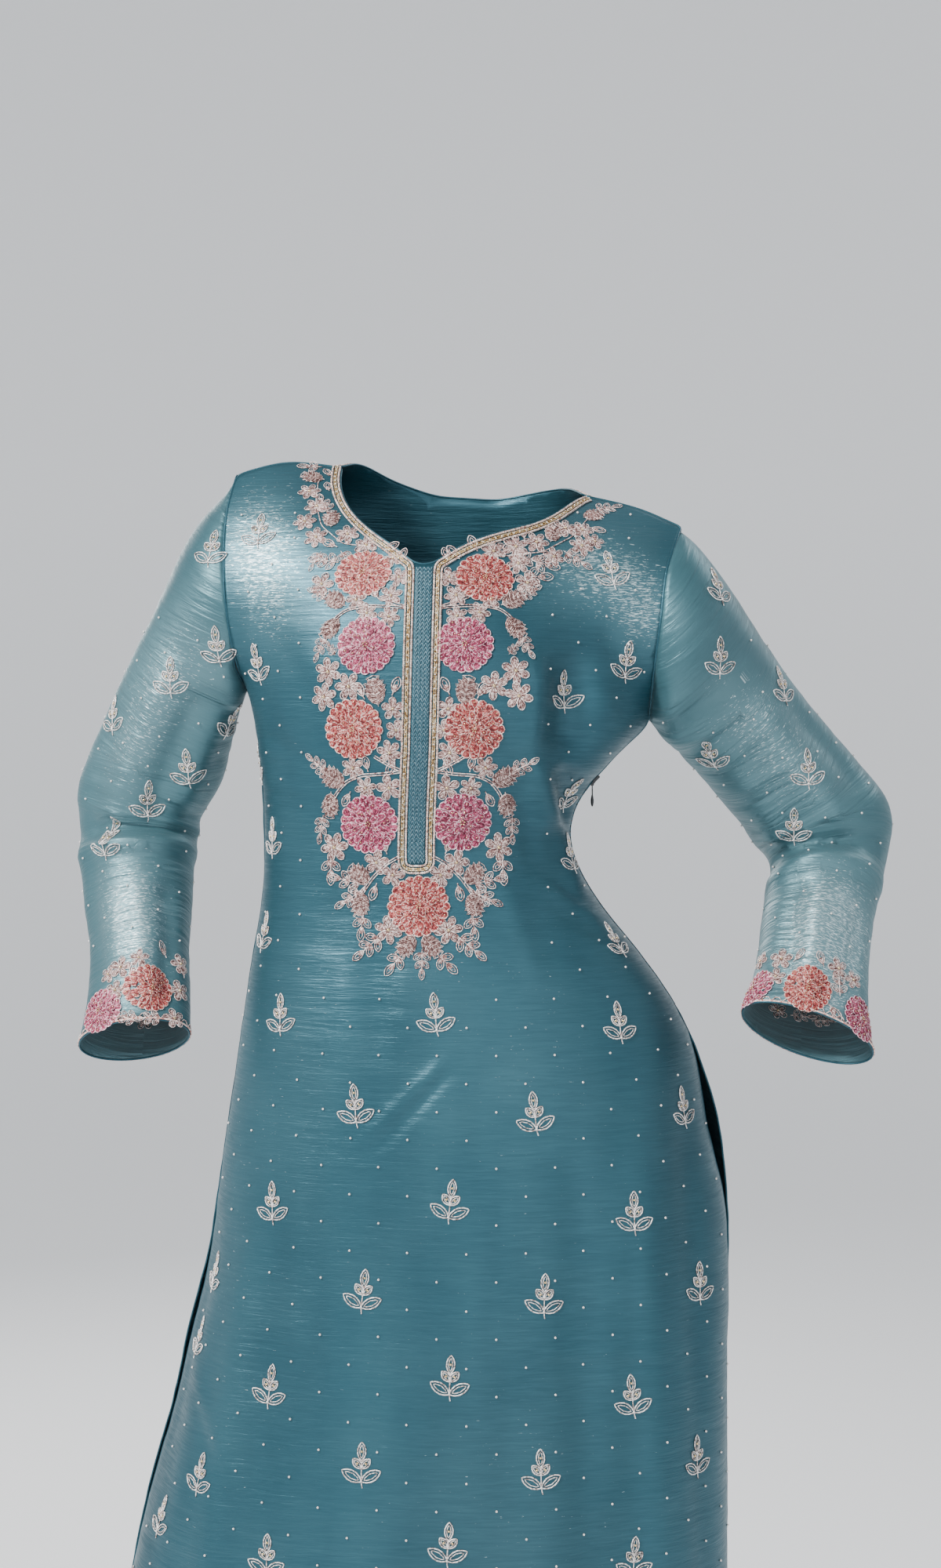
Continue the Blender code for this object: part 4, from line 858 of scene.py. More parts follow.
# a low dome over an outline
def dome(outline, peak, material):
    deselectAll()
    bpy.ops.mesh.primitive_circle_add(vertices=len(outline), radius=1, fill_type="TRIFAN")
    obj = bpy.context.object
    mesh = obj.data
    centre = next(v for v in mesh.vertices if v.co.length < 0.1)
    rim = sorted((v for v in mesh.vertices if v.co.length > 0.5), key=lambda v: math.atan2(v.co.y, v.co.x))
    for spot, place in zip(rim, reversed(outline)):
        spot.co = place
    centre.co = peak
    mesh.update()
    if sum(f.normal.z for f in mesh.polygons) < 0:
        mesh.flip_normals()
    mesh.materials.append(material)
    bpy.ops.object.shade_smooth()
    return obj


# a dome inside a leaf outline
def leafFill(length, width, base, angle, rise, material, sharp=1.35, belly=1.0, share=0.94):
    outline = leafLoop(length * share, width * share, base, angle, 0.1, 12, sharp, belly)
    return dome(outline, polar(math.radians(angle), length / 2, rise, base), material)


# threads round each leaf, round a smaller leaf inside it and up the stem
def leafThreads(leaves, stem, shape, material):
    outer, inner = [], []
    start, long, wide = shape["innerSize"]
    for x, y, length, width, angle in leaves:
        outer.append((leafLoop(length, width, (x, y), angle, *shape["outer"]), True))
        foot = polar(math.radians(angle), start * length, 0, (x, y))
        inner.append((leafLoop(length * long, width * wide, foot, angle, *shape["inner"]), True))
    return [threads(paths, radius, material)
            for paths, radius in zip((outer, inner, [(stem, False)]), shape["threads"])]


sprigShape = {  # one loose sprig of the all-over pattern
    "leaves": ((0, 2, 17.5, 8.2, 61), (0, 2, 17.5, 8.2, -61), (0, 12, 10, 6.0, 42), (0, 12, 10, 6.0, -42),
               (0, 18, 14, 6.6, 0)),  # base x, base y, length, width, angle
    "stem": ((1.0, -3, 0.5), (0.5, -1, 0.5), (0, 2, 0.5), (0, 12, 0.5), (0, 18, 0.5)),
    "outer": (0.6, 14, 1.7),  # height, points, sharpness, belly
    "inner": (0.5, 8, 1.6),
    "innerSize": (0.14, 0.70, 0.50),  # where it starts, and how long and wide it is, as shares
    "threads": (0.56, 0.38, 0.50),  # radius round the leaf, inside it, up the stem
    "sequin": (1.1, 0.50, 0.7),  # radius, share up the leaf, height
    "pearl": (1.2, (0, 2.2, 0.9)),
}


def makeSprig(name):
    radius, share, height = sprigShape["sequin"]
    parts = leafThreads(sprigShape["leaves"], sprigShape["stem"], sprigShape, sprigThread)
    parts += [bead(radius, goldBead, polar(math.radians(angle), share * length, height, (x, y)))
              for x, y, length, _, angle in sprigShape["leaves"][2:]]
    radius, place = sprigShape["pearl"]
    return motifOf(parts + [bead(radius, pearl, place)], name)


smallFlowerShape = {  # all petals together are this wide; form is sharpness and belly
    "girth": 27.0, "foot": 0.7, "length": 8.0, "height": 0.9, "form": (1.3, 0.66), "fill": (7.8, 0.92, 1.2),
    "veins": ((-13, 6.2), (0, 7.2), (13, 6.2)), "veinFoot": (2.0, 1.5), "veinTip": 1.3, "threads": (0.29, 0.17),
    "bead": (1.1, 1.5),
}


# a small flower of separate petals, each outlined over a darker satin ground
def makeSmallFlower(petals, name):
    shape = smallFlowerShape
    rims, veins, parts = [], [], []
    width = shape["girth"] / petals
    long, wide, rise = shape["fill"]
    for n in range(petals):
        angle = 360 * n / petals
        lean = math.radians(angle)
        foot = polar(lean, shape["foot"])
        rims.append((leafLoop(shape["length"], width, foot, angle, shape["height"], 12, *shape["form"]), True))
        veins += [([polar(lean, *shape["veinFoot"]), polar(math.radians(angle + spread), far, shape["veinTip"])], False)
                  for spread, far in shape["veins"]]
        parts.append(leafFill(long, width * wide, foot, angle, rise, zariFill, *shape["form"]))
    parts += [threads(paths, radius, zari) for paths, radius in zip((rims, veins), shape["threads"])]
    radius, height = shape["bead"]
    return motifOf(parts + [bead(radius, goldBead, (0, 0, height))], name)


sprayShape = {  # keys as for the sprig; fill is length and width as shares, rise, sharpness
    "outer": (0.8, 14, 1.5, 0.85), "inner": (0.9, 10, 1.5, 0.85), "innerSize": (0.16, 0.66, 0.46),
    "threads": (0.31, 0.22, 0.34), "fill": (0.55, 0.75, 1.1, 1.3),
}


# outlined leaves in pairs up a short stem, ending in one leaf
def makeSpray(leaves, name):
    stem = [(0, -2, 0.8), (0, max(leaf[1] for leaf in leaves) + 1, 0.9)]
    parts = leafThreads(leaves, stem, sprayShape, zari)
    long, wide, rise, sharp = sprayShape["fill"]
    parts += [leafFill(length * long, width * wide, (x, y), angle, rise, zariFill, sharp)
              for x, y, length, width, angle in leaves]  # the lower half of each leaf is worked solid
    return motifOf(parts, name)


budShape = {
    "bow": (0.10, 0.84, 0.7),  # how its width swells along it
    "tooth": ((0.78, 0.0), (1.12, 0.95)), "rim": 0.8,
    "slant": ((0.0, 1.7), (1.3, 1.5), (2.9, 0.9)), "slantReach": (0.55, 0.95), "steps": (0.0, 0.33, 0.66),
    "foot": (0.3, 1.4), "rib": ((0, -2, 0.9), 0.92, 2.0), "fill": (0.98, 1.2, 0.8),
    "threads": (0.44, 0.22, 0.33, 0.28),  # radius of satin, pale stitches, rim, rib
}


# a leaf with toothed sides, packed with slanting satin stitches either side of a rib
def makeBud(length, width, teeth, name):
    shape = budShape
    slants, sides = [], {-1: [], 1: []}
    low, grow, power = shape["bow"]
    aside, drop = shape["foot"]
    for n in range(teeth):
        share = (n + 0.5) / teeth
        reach = width / 2 * math.sin(math.pi * (low + grow * share)) ** power
        y = length * share * grow
        for sign in (-1, 1):
            sides[sign] += [(sign * reach * out, y + length / teeth * up, shape["rim"]) for out, up in shape["tooth"]]
            for step in shape["steps"]:
                foot = y + step * length / teeth - drop
                wide = [aside] + [reach * out for out in shape["slantReach"]]
                slants.append(([(sign * x, foot + up, z) for x, (up, z) in zip(wide, shape["slant"])], False))
    rim = [(0, -0.5, shape["rim"])] + sides[1] + [(0, length, shape["rim"])] + sides[-1][::-1]
    foot, share, height = shape["rib"]
    rib = [foot, (0, length * share, height)]
    paths = (slants[0::3] + slants[1::3], slants[2::3], [(rim, True)], [(rib, False)])
    parts = [threads(*each) for each in zip(paths, shape["threads"], (zariFill, zari, zari, zari))]
    share, rise, sharp = shape["fill"]
    return motifOf(parts + [leafFill(length * share, width, (0, 0), 0, rise, zariFill, sharp)], name)


bigFlowerShape = {
    "rings": ((20, 16.6, 24.4, 8.0, 1.0), (18, 11.6, 19.2, 6.0, 1.4), (14, 7.0, 14.8, 5.4, 1.8),
              (11, 3.0, 10.4, 4.8, 2.2), (6, 0.4, 6.4, 4.2, 2.5)),  # petals, both radii, width, height
    "jitter": (0.34, 1.3, 0.25),  # round, in and out, up and down
    "arc": (-114, 38, 7, 0.54), "peak": (0.45, 0.5), "bead": (0.66, 0.8), "centreBeads": (5, 1.7, 3.4),
    "veins": {"count": 4, "aside": 0.36, "from": (0.0, 0.35), "to": (0.6, 0.95), "lifts": (0.45, 0.30), "pale": 0.22},
    "stray": {"count": 40, "from": (3, 17), "bend": 0.12, "length": (2.5, 5), "height": 3.1, "fall": 0.08},
    "ground": {"radius": 23.4, "lobe": 0.07, "height": 0.3, "peak": 2.0, "points": 80, "lobes": 10},
    "threads": (0.42, 0.21, 0.36, 0.20), "beads": (0.62, 0.72),
}


# rings of small overlapping petals, highest in the middle
def makeBigFlower(fill, edge, name):
    shape = bigFlowerShape
    fills, rims, lines, stitches, pale, beads, gold = [], [], [], [], [], [], []
    aside, inOut, upDown = shape["jitter"]
    start, step, points, bow = shape["arc"]
    vein, stray = shape["veins"], shape["stray"]
    for row, (count, nearest, farthest, width, height) in enumerate(shape["rings"]):
        loose = 0.0 if row == 0 else 1.0  # the outer lobes stand evenly, the inner petals don't
        for n in range(count):
            lean = 2 * math.pi * (n + 0.5 * (row % 2) + loose * random.uniform(-aside, aside)) / count
            outX, outY = math.sin(lean), math.cos(lean)
            low = nearest + loose * random.uniform(-inOut, inOut)
            high = farthest + (loose + 0.3) * random.uniform(-inOut, inOut)
            length = high - low
            lift = height + loose * random.uniform(-upDown, upDown)

            def spot(x, y, z):
                return x * outY + y * outX, y * outY - x * outX, z

            rim = []
            for k in range(points):
                a = math.radians(start + step * k)
                rim.append(spot(width / 2 * math.sin(a), low + length * (1 - bow + bow * math.cos(a)), lift))
            (lines if row else rims).append((rim, False))
            peak, bulb = ((low + length * share, lift + more) for share, more in (shape["peak"], shape["bead"]))
            fills.append((rim, spot(0, *peak)))
            for _ in range(vein["count"]):
                x = random.uniform(-vein["aside"], vein["aside"])
                near, far = random.uniform(*vein["from"]), random.uniform(*vein["to"]) - abs(x) * 0.5
                line = ([spot(x * 0.5 * width, low + length * near, lift + vein["lifts"][0]),
                         spot(x * width, low + length * far, lift + vein["lifts"][1])], False)
                (pale if random.random() < vein["pale"] else stitches).append(line)
            (gold if n % 3 == 0 else beads).append(spot(0, *bulb))
    for _ in range(stray["count"]):  # loose threads that cross the petals outwards
        lean, far = random.uniform(0, 2 * math.pi), random.uniform(*stray["from"])
        bend, reach = lean + random.uniform(-stray["bend"], stray["bend"]), far + random.uniform(*stray["length"])
        pale.append(([polar(turn, out, stray["height"] - out * stray["fall"])
                      for turn, out in ((lean, far), (bend, reach))], False))
    count, far, height = shape["centreBeads"]
    gold += [polar(2 * math.pi * n / count, far, height) for n in range(count)]

    ground, rim = shape["ground"], []  # the stitched ground under the petals
    for n in range(ground["points"]):
        lean = 2 * math.pi * n / ground["points"]
        dent = ground["lobe"] * (1 - abs(math.sin(ground["lobes"] * lean)))
        rim.append(polar(lean, ground["radius"] * (1 - dent), ground["height"]))
    parts = [dome(rim, (0, 0, ground["peak"]), fill)]
    parts += [dome(outline, peak, fill) for outline, peak in fills]
    parts += [threads(*each) for each in zip((rims, lines, stitches, pale), shape["threads"], (edge, edge, fill, edge))]
    small, large = shape["beads"]
    parts += [bead(small, edge, place) for place in beads[::2]] + [bead(large, goldBead, place) for place in gold]
    return motifOf(parts, name)


motifs = {
    "sprig": makeSprig("sprigModel"),
    "flower": makeSmallFlower(6, "smallFlowerModel"),
    "five": makeSmallFlower(5, "fiveFlowerModel"),
    "spray": makeSpray(((0, 1, 8.5, 4.8, 52), (0, 1, 8.5, 4.8, -52), (0, 7, 8.0, 4.6, 40), (0, 7, 8.0, 4.6, -40),
                        (0, 13, 9.5, 4.6, 0)), "sprayModel"),
    "open": makeSpray(((0, 2, 9.5, 5.6, 48), (0, 2, 9.5, 5.6, -48), (0, 8, 11.5, 6.2, 0)), "openSprayModel"),
    "leaf": makeSpray(((0, 0, 9.5, 5.4, 0),), "leafModel"),
    "bud": makeBud(21, 15.5, 5, "budModel"),
    "coral": makeBigFlower(coralSatin, coralEdge, "coralFlowerModel"),
    "pink": makeBigFlower(pinkSatin, pinkEdge, "pinkFlowerModel"),
}
print("motifs made")


# lays motifs by a table: motif, a, b, turn, size or width and height
def layAll(cloth, view, rows):
    laid = []
    for kind, a, b, turn, *size in rows:
        met = cast(cloth, view, a, b)
        if met:
            laid.append(layMotif(motifs[kind], cloth, *met, turn, *size))
    return laid


def finishPiece(obj, replaced=()):
    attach(obj, "suit")
    if replaced:
        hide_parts(*replaced)
    return obj


# the nine large flowers on the front: kind, x, z, turn, width share, height share
largeFlowers = (
    ("coral", -80, -84, 0, 0.98, 0.86), ("coral", 18, -88.5, 5, 0.98, 0.86), ("pink", -77, -143, 0, 0.98, 0.98),
    ("pink", 2, -143, 7, 0.95, 0.95), ("coral", -87, -210, 3, 1.0, 1.0), ("coral", 9.5, -210.5, 0, 0.98, 0.98),
    ("pink", -75, -286, 9, 0.98, 0.98), ("pink", 0, -284.3, 4, 0.97, 0.97), ("coral", -35, -352, 0, 1.02, 1.0),
)
for number, (kind, x, z, turn, wide, tall) in enumerate(largeFlowers, 1):
    flower = layMotif(motifs[kind], front, *cast(front, "front", x, z), turn, wide, tall)
    flower.name = f"largeFlower{number}"
    finishPiece(flower, [f"flower_{number}"])
print("large flowers laid")

# zari work between and beside the large flowers
workScale = {"flower": 1.40, "five": 1.42, "bud": 1.14, "spray": 1.32, "open": 1.25, "leaf": 1.6}
centreLine = ((-77, -30.5), (-188, -33), (-230, -34), (-270, -36), (-306, -37), (-352, -36), (-405, -33))
halfWork = (  # kind, distance from the centre line, z, turn away from the centre, size
    ("five", 83, -92, 0, 0.85), ("spray", 72, -74, 80, 0.85), ("five", 20, -88, 0, 0.7), ("leaf", 19, -73, -20, 0.7),
    ("flower", 26, -103, 10, 0.8), ("bud", 64, -110, 62, 0.85), ("spray", 80, -103, 60, 0.62),
    ("five", 54, -106, 20, 0.75), ("flower", 45, -117, 0, 0.75), ("flower", 27, -120, 15, 0.75),
    ("bud", 68, -122, 140, 0.85), ("spray", 79, -137, 155, 0.7), ("leaf", 37, -104, 40, 0.75),
    ("flower", 75, -164, 0, 0.95), ("flower", 58, -176, 12, 0.95), ("flower", 78, -184, 0, 0.95),
    ("bud", 34, -190, 8, 0.95), ("leaf", 22, -181, -25, 0.85), ("leaf", 46, -184, 28, 0.8),
    ("five", 22, -194, 0, 0.75), ("spray", 70, -150, 40, 0.45),
    ("five", 19, -211, 0, 0.7), ("flower", 24, -229, 0, 0.85), ("bud", 60, -254, 58, 0.95),
    ("spray", 76, -243, 55, 0.75), ("flower", 53, -241, 0, 0.8), ("leaf", 41, -242, 10, 0.7),
    ("flower", 42, -257, 0, 0.75), ("five", 23, -257, 0, 0.85), ("leaf", 55, -262, 150, 0.75),
    ("bud", 70, -262, 168, 0.85), ("spray", 76, -281, 172, 0.75),
    ("flower", 66, -305, 0, 1.0), ("open", 69, -314, 180, 0.9), ("leaf", 20, -236, 150, 0.8),
    ("five", 32, -317, 0, 0.85), ("leaf", 24, -308, 20, 0.75), ("five", 19, -327, 0, 0.8),
    ("bud", 39, -333, 48, 0.85), ("spray", 46, -334, 78, 0.95), ("spray", 46, -341, 118, 0.85),
    ("bud", 44, -342, 172, 0.85), ("open", 44, -360, 180, 0.85), ("leaf", 33, -336, 165, 0.8),
    ("flower", 24, -371, 0, 0.95), ("spray", 32, -377, 132, 0.95),
    ("bud", 4, -376, 142, 0.85), ("open", 15, -391, 138, 0.85),
)
stems = (  # points of a branch: distance from the centre line, z
    ((14, -113), (26, -112), (46, -111), (62, -114), (72, -122), (78, -136)),
    ((15, -112), (25, -109), (36, -104)),
    ((14, -244), (28, -246), (46, -247), (58, -252), (66, -262), (72, -278)),
    ((15, -243), (26, -238), (36, -232)),
    ((13, -312), (24, -318), (36, -330), (44, -342)),
    ((40, -336), (50, -345), (60, -350)),
)


def fromCentre(sign, away, z):
    return tableAt(centreLine, z) + sign * away, z


# a small random turn, wider for the round motifs
def sway(kind, least):
    most = 24 if kind in ("flower", "five") else least
    return random.uniform(-most, most)


rows = [(kind, *fromCentre(sign, away, z), sign * turn + sway(kind, 5), size * workScale[kind])
        for sign in (-1, 1) for kind, away, z, turn, size in halfWork]
rows.append(("spray", -32, -388, 180, 1.0))
necklineWork = (  # kind, x, z, turn, size
    ("open", -121, 14, -80, 0.8), ("bud", -118, 2, -70, 0.8), ("flower", -128, -10, 0, 0.8),
    ("leaf", -111, 6, -30, 0.7), ("leaf", -112, -8, -10, 0.7), ("flower", -121, -24, 0, 0.85),
    ("spray", -112, -28, -20, 0.8), ("flower", -130, -38, 0, 0.8), ("bud", -108, -42, -5, 0.8),
    ("flower", -120, -52, 0, 0.85), ("flower", -94, -50, 0, 0.85), ("leaf", -104, -60, -60, 0.8),
    ("flower", -78, -60, 0, 0.85), ("spray", -98, -66, 150, 0.7), ("leaf", -62, -64, 60, 0.8),
    ("five", -56, -72, 0, 0.7), ("leaf", -70, -50, 20, 0.6), ("spray", -116, -66, 200, 0.6),
    ("spray", 112, -26, 75, 0.85), ("bud", 101, -34, 70, 0.8), ("flower", 98, -46, 0, 0.8),
    ("leaf", 106, -44, 110, 0.8), ("flower", 84, -45, 0, 0.85), ("bud", 72, -56, 20, 0.8),
    ("flower", 60, -58, 0, 0.85), ("leaf", 50, -54, 0, 0.7), ("flower", 43, -62, 0, 0.9),
    ("flower", 25, -66, 0, 0.85), ("leaf", 11, -64, -20, 0.8), ("leaf", -4, -71, -40, 0.8),
    ("flower", 97, -60, 0, 0.85), ("spray", 84, -66, 120, 0.85), ("flower", 74, -70, 0, 0.75),
    ("open", 58, -74, 100, 0.9), ("flower", 45, -76, 0, 0.8), ("open", 52, -87, 88, 0.9),
    ("leaf", 34, -68, 30, 0.7), ("five", 108, -56, 0, 0.65),
)
rows += [(kind, x, z, turn + sway(kind, 6), size * workScale[kind]) for kind, x, z, turn, size in necklineWork]
laid = layAll(front, "front", rows)


# which way a line runs at its nth point
def aheadAt(line, n):
    return line[min(n + 1, len(line) - 1)] - line[max(n - 1, 0)]


# sideways along the cloth from a line's nth point
def acrossAt(cloth, line, n):
    return aheadAt(line, n).cross(nearest(cloth, line[n])[1]).normalized()


# the nearest point of the cloth, lifted off it
def lifted(cloth, place, lift):
    near, normal = nearest(cloth, place)
    return near + normal * lift


# the same line moved along the cloth to one side
def sideways(cloth, line, offset, lift):
    return [lifted(cloth, place + acrossAt(cloth, line, n) * offset, lift) for n, place in enumerate(line)]


# a line through x, z points in mm, laid on the front
def frontLine(points, lift=0.6 * mm, step=2.5 * mm):
    line = []
    for place in eased(evenly([cast(front, "front", x, z)[0] for x, z in points], step), 3):
        near, normal = nearest(front, place)
        if normal.dot(place - near) < 0 and normal.y > 0:
            normal = -normal
        line.append(near + normal * lift)
    return line


branches = []
for sign in (-1, 1):
    for stem in stems:
        line = frontLine([fromCentre(sign, away, z) for away, z in stem])
        branches += [(sideways(front, line, offset * mm, 0.7 * mm), False) for offset in (-0.9, 0.9)]
for path in (((-121, 8), (-122, -20), (-116, -42), (-98, -58), (-70, -62)),
             ((106, -32), (90, -52), (66, -66), (34, -70), (8, -70))):
    branches.append((frontLine(path), False))
laid.append(threads(branches, 0.42 * mm, zari))
finishPiece(joinAll(laid, "zariFrontWork"))
print("zari work laid")

# cord trim round the neck and the placket
trim = {
    "edge": 4.4, "stripSide": 11.2, "stripTop": -84, "stripEnd": -322.6, "corner": 5.5, "step": 0.9,
    "rose": {"aside": 2.9, "lift": 1.0, "wind": 0.95, "pitch": 3.4, "thread": 0.58},
    "gold": {"aside": 0.75, "lift": 1.1, "wind": 0.70, "pitch": 2.6, "thread": 0.42},
    "pearl": {"radius": 0.7, "lift": 1.6, "step": 5.6},
    "ground": {"asides": (-3.9, -1.3, 1.3, 3.9), "lift": 0.2},
}


# two strands wound round a path
def twisted(path, radius, pitch):
    strands, turn = ([], []), 0.0
    for n, place in enumerate(path):
        ahead = aheadAt(path, n)
        if n:
            turn += 2 * math.pi * (place - path[n - 1]).length / pitch
        across = ahead.orthogonal().normalized()
        over = ahead.normalized().cross(across)
        off = (across * math.cos(turn) + over * math.sin(turn)) * radius * 0.55
        strands[0].append(place + off)
        strands[1].append(place - off)
    return [(strand, False) for strand in strands]


# runs beside an edge, inset from it along the cloth
def besideEdge(cloth, edge, inset):
    route = []
    line = evenly(edge, 3 * mm)
    for n, place in enumerate(line):
        across = acrossAt(cloth, line, n)
        spots = [nearest(cloth, place + way * inset)[0] for way in (across, -across)]
        route.append(max(spots, key=lambda spot: (spot - place).length))
    return route


neckRight = edgeRun(front, (-102, 13, 13), (-75, -58, -47.5), (-38.5, -88, -77.4))
neckLeft = edgeRun(front, (-22.5, -88, -77), (33, -73, -49), (101, -9, -13))
neckBack = edgeRun(back, (-102, 13, 13), (-10, 84, -2), (101, -9, -13))
down = [(trim["stripSide"], trim["stripTop"] - 12 * n) for n in range(20)]
down += [(trim["stripSide"] - trim["corner"] * (1 - math.cos(math.radians(a))),
          trim["stripEnd"] + trim["corner"] * (1 - math.sin(math.radians(a)))) for a in (0, 30, 60, 90)]
downRun = [cast(front, "front", *fromCentre(-1, away, z))[0] for away, z in down]
upRun = [cast(front, "front", *fromCentre(1, away, z))[0] for away, z in reversed(down)]
frontRoute = (besideEdge(front, neckRight, trim["edge"] * mm)[:-1] + downRun + upRun
              + besideEdge(front, neckLeft, trim["edge"] * mm)[1:])
backRoute = besideEdge(back, neckBack, trim["edge"] * mm)
frontRoute, backRoute = (eased(evenly(route, 1.5 * mm), 4) for route in (frontRoute, backRoute))


# a band through lines of points that run side by side on a cloth
def strip(cloth, lines, material, thickness=0.4 * mm):
    deselectAll()
    bpy.ops.mesh.primitive_grid_add(x_subdivisions=len(lines[0]) - 1, y_subdivisions=len(lines) - 1, size=1)
    band = bpy.context.object
    for point, place in zip(band.data.vertices, [place for line in lines for place in line]):
        point.co = place
    band.data.update()
    face = band.data.polygons[len(band.data.polygons) // 2]
    if face.normal.dot(nearest(cloth, face.center)[1]) < 0:
        band.data.flip_normals()
    applyModifier(band, "SOLIDIFY", thickness=thickness, offset=1)
    band.data.materials.append(material)
    bpy.ops.object.shade_smooth()
    return band


# copies of a small model, each with its own mesh, joined
def placeCopies(model, places, name="copies"):
    copies = []
    for place in places:
        mesh = model.data.copy()
        mesh.transform(Matrix.Translation(place))
        copies.append(linkNew(name, mesh))
    bpy.data.objects.remove(model)
    return joinAll(copies, name)


def cordTrim(cloth, line, name, node):
    parts = []
    for kind, material in (("rose", roseCord), ("gold", goldThread)):
        cord, strands = trim[kind], []
        for aside in (-cord["aside"], cord["aside"]):
            path = evenly(sideways(cloth, line, aside * mm, cord["lift"] * mm), trim["step"] * mm)
            strands += twisted(path, cord["wind"] * mm, cord["pitch"] * mm)
        parts.append(threads(strands, cord["thread"] * mm, material))
    small, ground = trim["pearl"], trim["ground"]
    beads = evenly(sideways(cloth, line, 0.0, small["lift"] * mm), small["step"] * mm)
    parts.append(placeCopies(bead(small["radius"] * mm, pearl), beads))
    bands = [sideways(cloth, line, aside * mm, ground["lift"] * mm) for aside in ground["asides"]]
    parts.append(strip(cloth, bands, darkCloth))
    finishPiece(joinAll(parts, name), [node])


cordTrim(front, frontRoute, "neckTrimFront", "neck_trim_front")
cordTrim(back, backRoute, "neckTrimBack", "neck_trim_back")
print("cord trim laid")

# placket ribbon with its stitched rows
placket = {
    "top": -80, "end": -317.5, "steps": 59, "rows": (-7.2, -3.6, 0, 3.6, 7.2), "lift": 0.35, "thick": 0.5,
    "stitch": 3.4, "columns": (-4.8, -1.6, 1.6, 4.8), "slant": 1.4, "lifts": (1.0, 1.35, 1.0), "thread": 0.40,
}
spine = []
for n in range(placket["steps"] + 1):
    z = placket["top"] - (placket["top"] - placket["end"]) * n / placket["steps"]
    spine.append(cast(front, "front", *fromCentre(1, 0, z))[0])
spine = eased(spine, 2)
rows = [sideways(front, spine, offset * mm, placket["lift"] * mm) for offset in placket["rows"]]
ribbon = strip(front, rows, ribbonCloth, placket["thick"] * mm)
ribbon.name = ribbon.data.name = "placketRibbon"
finishPiece(ribbon, ["placket_strip"])
stitches = []
fine = evenly(spine, placket["stitch"] * mm)
for away in placket["columns"]:
    offsets = (away - placket["slant"], away, away + placket["slant"])
    inner, middle, outer = (sideways(front, fine, offset * mm, lift * mm)
                            for offset, lift in zip(offsets, placket["lifts"]))
    stitches += [([inner[n], middle[n + 1], outer[n]], False) for n in range(len(fine) - 1)]
ribbonStitches = threads(stitches, placket["thread"] * mm, ribbonThread, 0, "placketStitches")
finishPiece(ribbonStitches)
print("placket sewn")

# loose sprigs of the all-over pattern
frontSprigs = (  # x, z in mm where they show; the rest follow the same spacing
    (-20, -443), (127, -452), (-84, -516), (59, -521), (181, -524), (215, -579), (-152, -597), (-11, -589),
    (137, -602), (-205, -662), (-80, -661), (64, -663), (192, -664), (-218, -716), (-154, -739),
    (-10, -725), (136, -745), (-79, -794), (62, -798), (189, -802), (-212, -814), (-247, -857), (-154, -868),
    (-12, -853), (135, -873), (-147, -447), (-168, -50), (123, -85), (-167, -161), (132, -160),
    (85, -267), (90, -317), (129, -388), (-157, -304), (-169, -243), (-165, -382), (82, -185),
    (-80, -934), (64, -932), (205, -930), (-222, -940), (-150, -1003), (-8, -1000), (138, -1006),
    (-80, -1072), (64, -1070), (206, -1066), (-226, -1074), (-280, -1000), (-276, -925),
)
sleeveSprigs = {
    "right": ((-199, -206), (-210, -64), (-202, -147), (-244, -171), (-297, -201), (-231, -247), (-267, -274),
              (-302, -307)),
    "left": ((212, -156), (270, -177), (211, -236), (292, -247), (282, -296), (212, -96)),
}
sprigRows = {"rows": 15, "across": 142, "down": 71, "start": (-40, -66), "foot": 9, "clear": 18, "lean": 7,
             "behind": (14, 34)}
taken = {"front": [], "back": [], "right": [], "left": []}  # places the pearls keep clear of


# whether the cloth runs on round a place, without an edge or a steep turn near it
def roomOnCloth(cloth, view, a, b, reach=15):
    met = [cast(cloth, view, a + x, b + z) for x, z in ((0, 0), (reach, 0), (-reach, 0), (0, reach), (0, -reach))]
    if not all(met):
        return False
    return max((m[0] - met[0][0]).length for m in met) < 1.9 * reach * mm


def laySprigs(cloth, view, places, key):
    laid = []
    for a, b in places:
        met = cast(cloth, view, a, b)
        if met:
            foot = met[0] - Vector((0, 0, sprigRows["foot"] * mm))
            turn = random.uniform(-sprigRows["lean"], sprigRows["lean"])
            laid.append(layMotif(motifs["sprig"], cloth, foot, met[1], turn))
            taken[key].append((met[0], sprigRows["clear"] * mm))
    return laid


backSprigs = []
for row in range(sprigRows["rows"]):
    for column in range(-3, 4):
        x = sprigRows["start"][0] + sprigRows["across"] * (column + 0.5 * (row % 2))
        z = sprigRows["start"][1] - sprigRows["down"] * row
        if roomOnCloth(back, "back", x, z):
            backSprigs.append((x, z))
finishPiece(joinAll(laySprigs(front, "front", frontSprigs, "front"), "sprigsFront"))
finishPiece(joinAll(laySprigs(back, "back", backSprigs, "back"), "sprigsBack"))
for side, turn in (("right", -1), ("left", 1)):
    cloth = sleeves[side]["cloth"]
    laid = laySprigs(cloth, "front", sleeveSprigs[side], side)
    hidden = [(x + turn * sprigRows["behind"][0], z - sprigRows["behind"][1]) for x, z in sleeveSprigs[side]]
    laid += laySprigs(cloth, "back", [spot for spot in hidden if roomOnCloth(cloth, "back", *spot, 12)], side)
    finishPiece(joinAll(laid, f"sprigsSleeve{side.title()}"))
print("sprigs laid")

# pearls sewn in brick rows
pearls = {"across": 47, "down": 22, "radius": 1.1, "top": -30, "end": -1096, "bodyLift": 0.9, "sleeveLift": 0.8,
          "round": 6, "topGap": 30, "cuffGap": 75, "edgeGap": 6, "flowerGap": 27, "workSide": 92, "workEnd": -405}
for kind, x, z, *_ in largeFlowers:
    taken["front"].append((cast(front, "front", x, z)[0], pearls["flowerGap"] * mm))


def isClear(spot, key):
    return all((spot - place).length > reach for place, reach in taken[key])


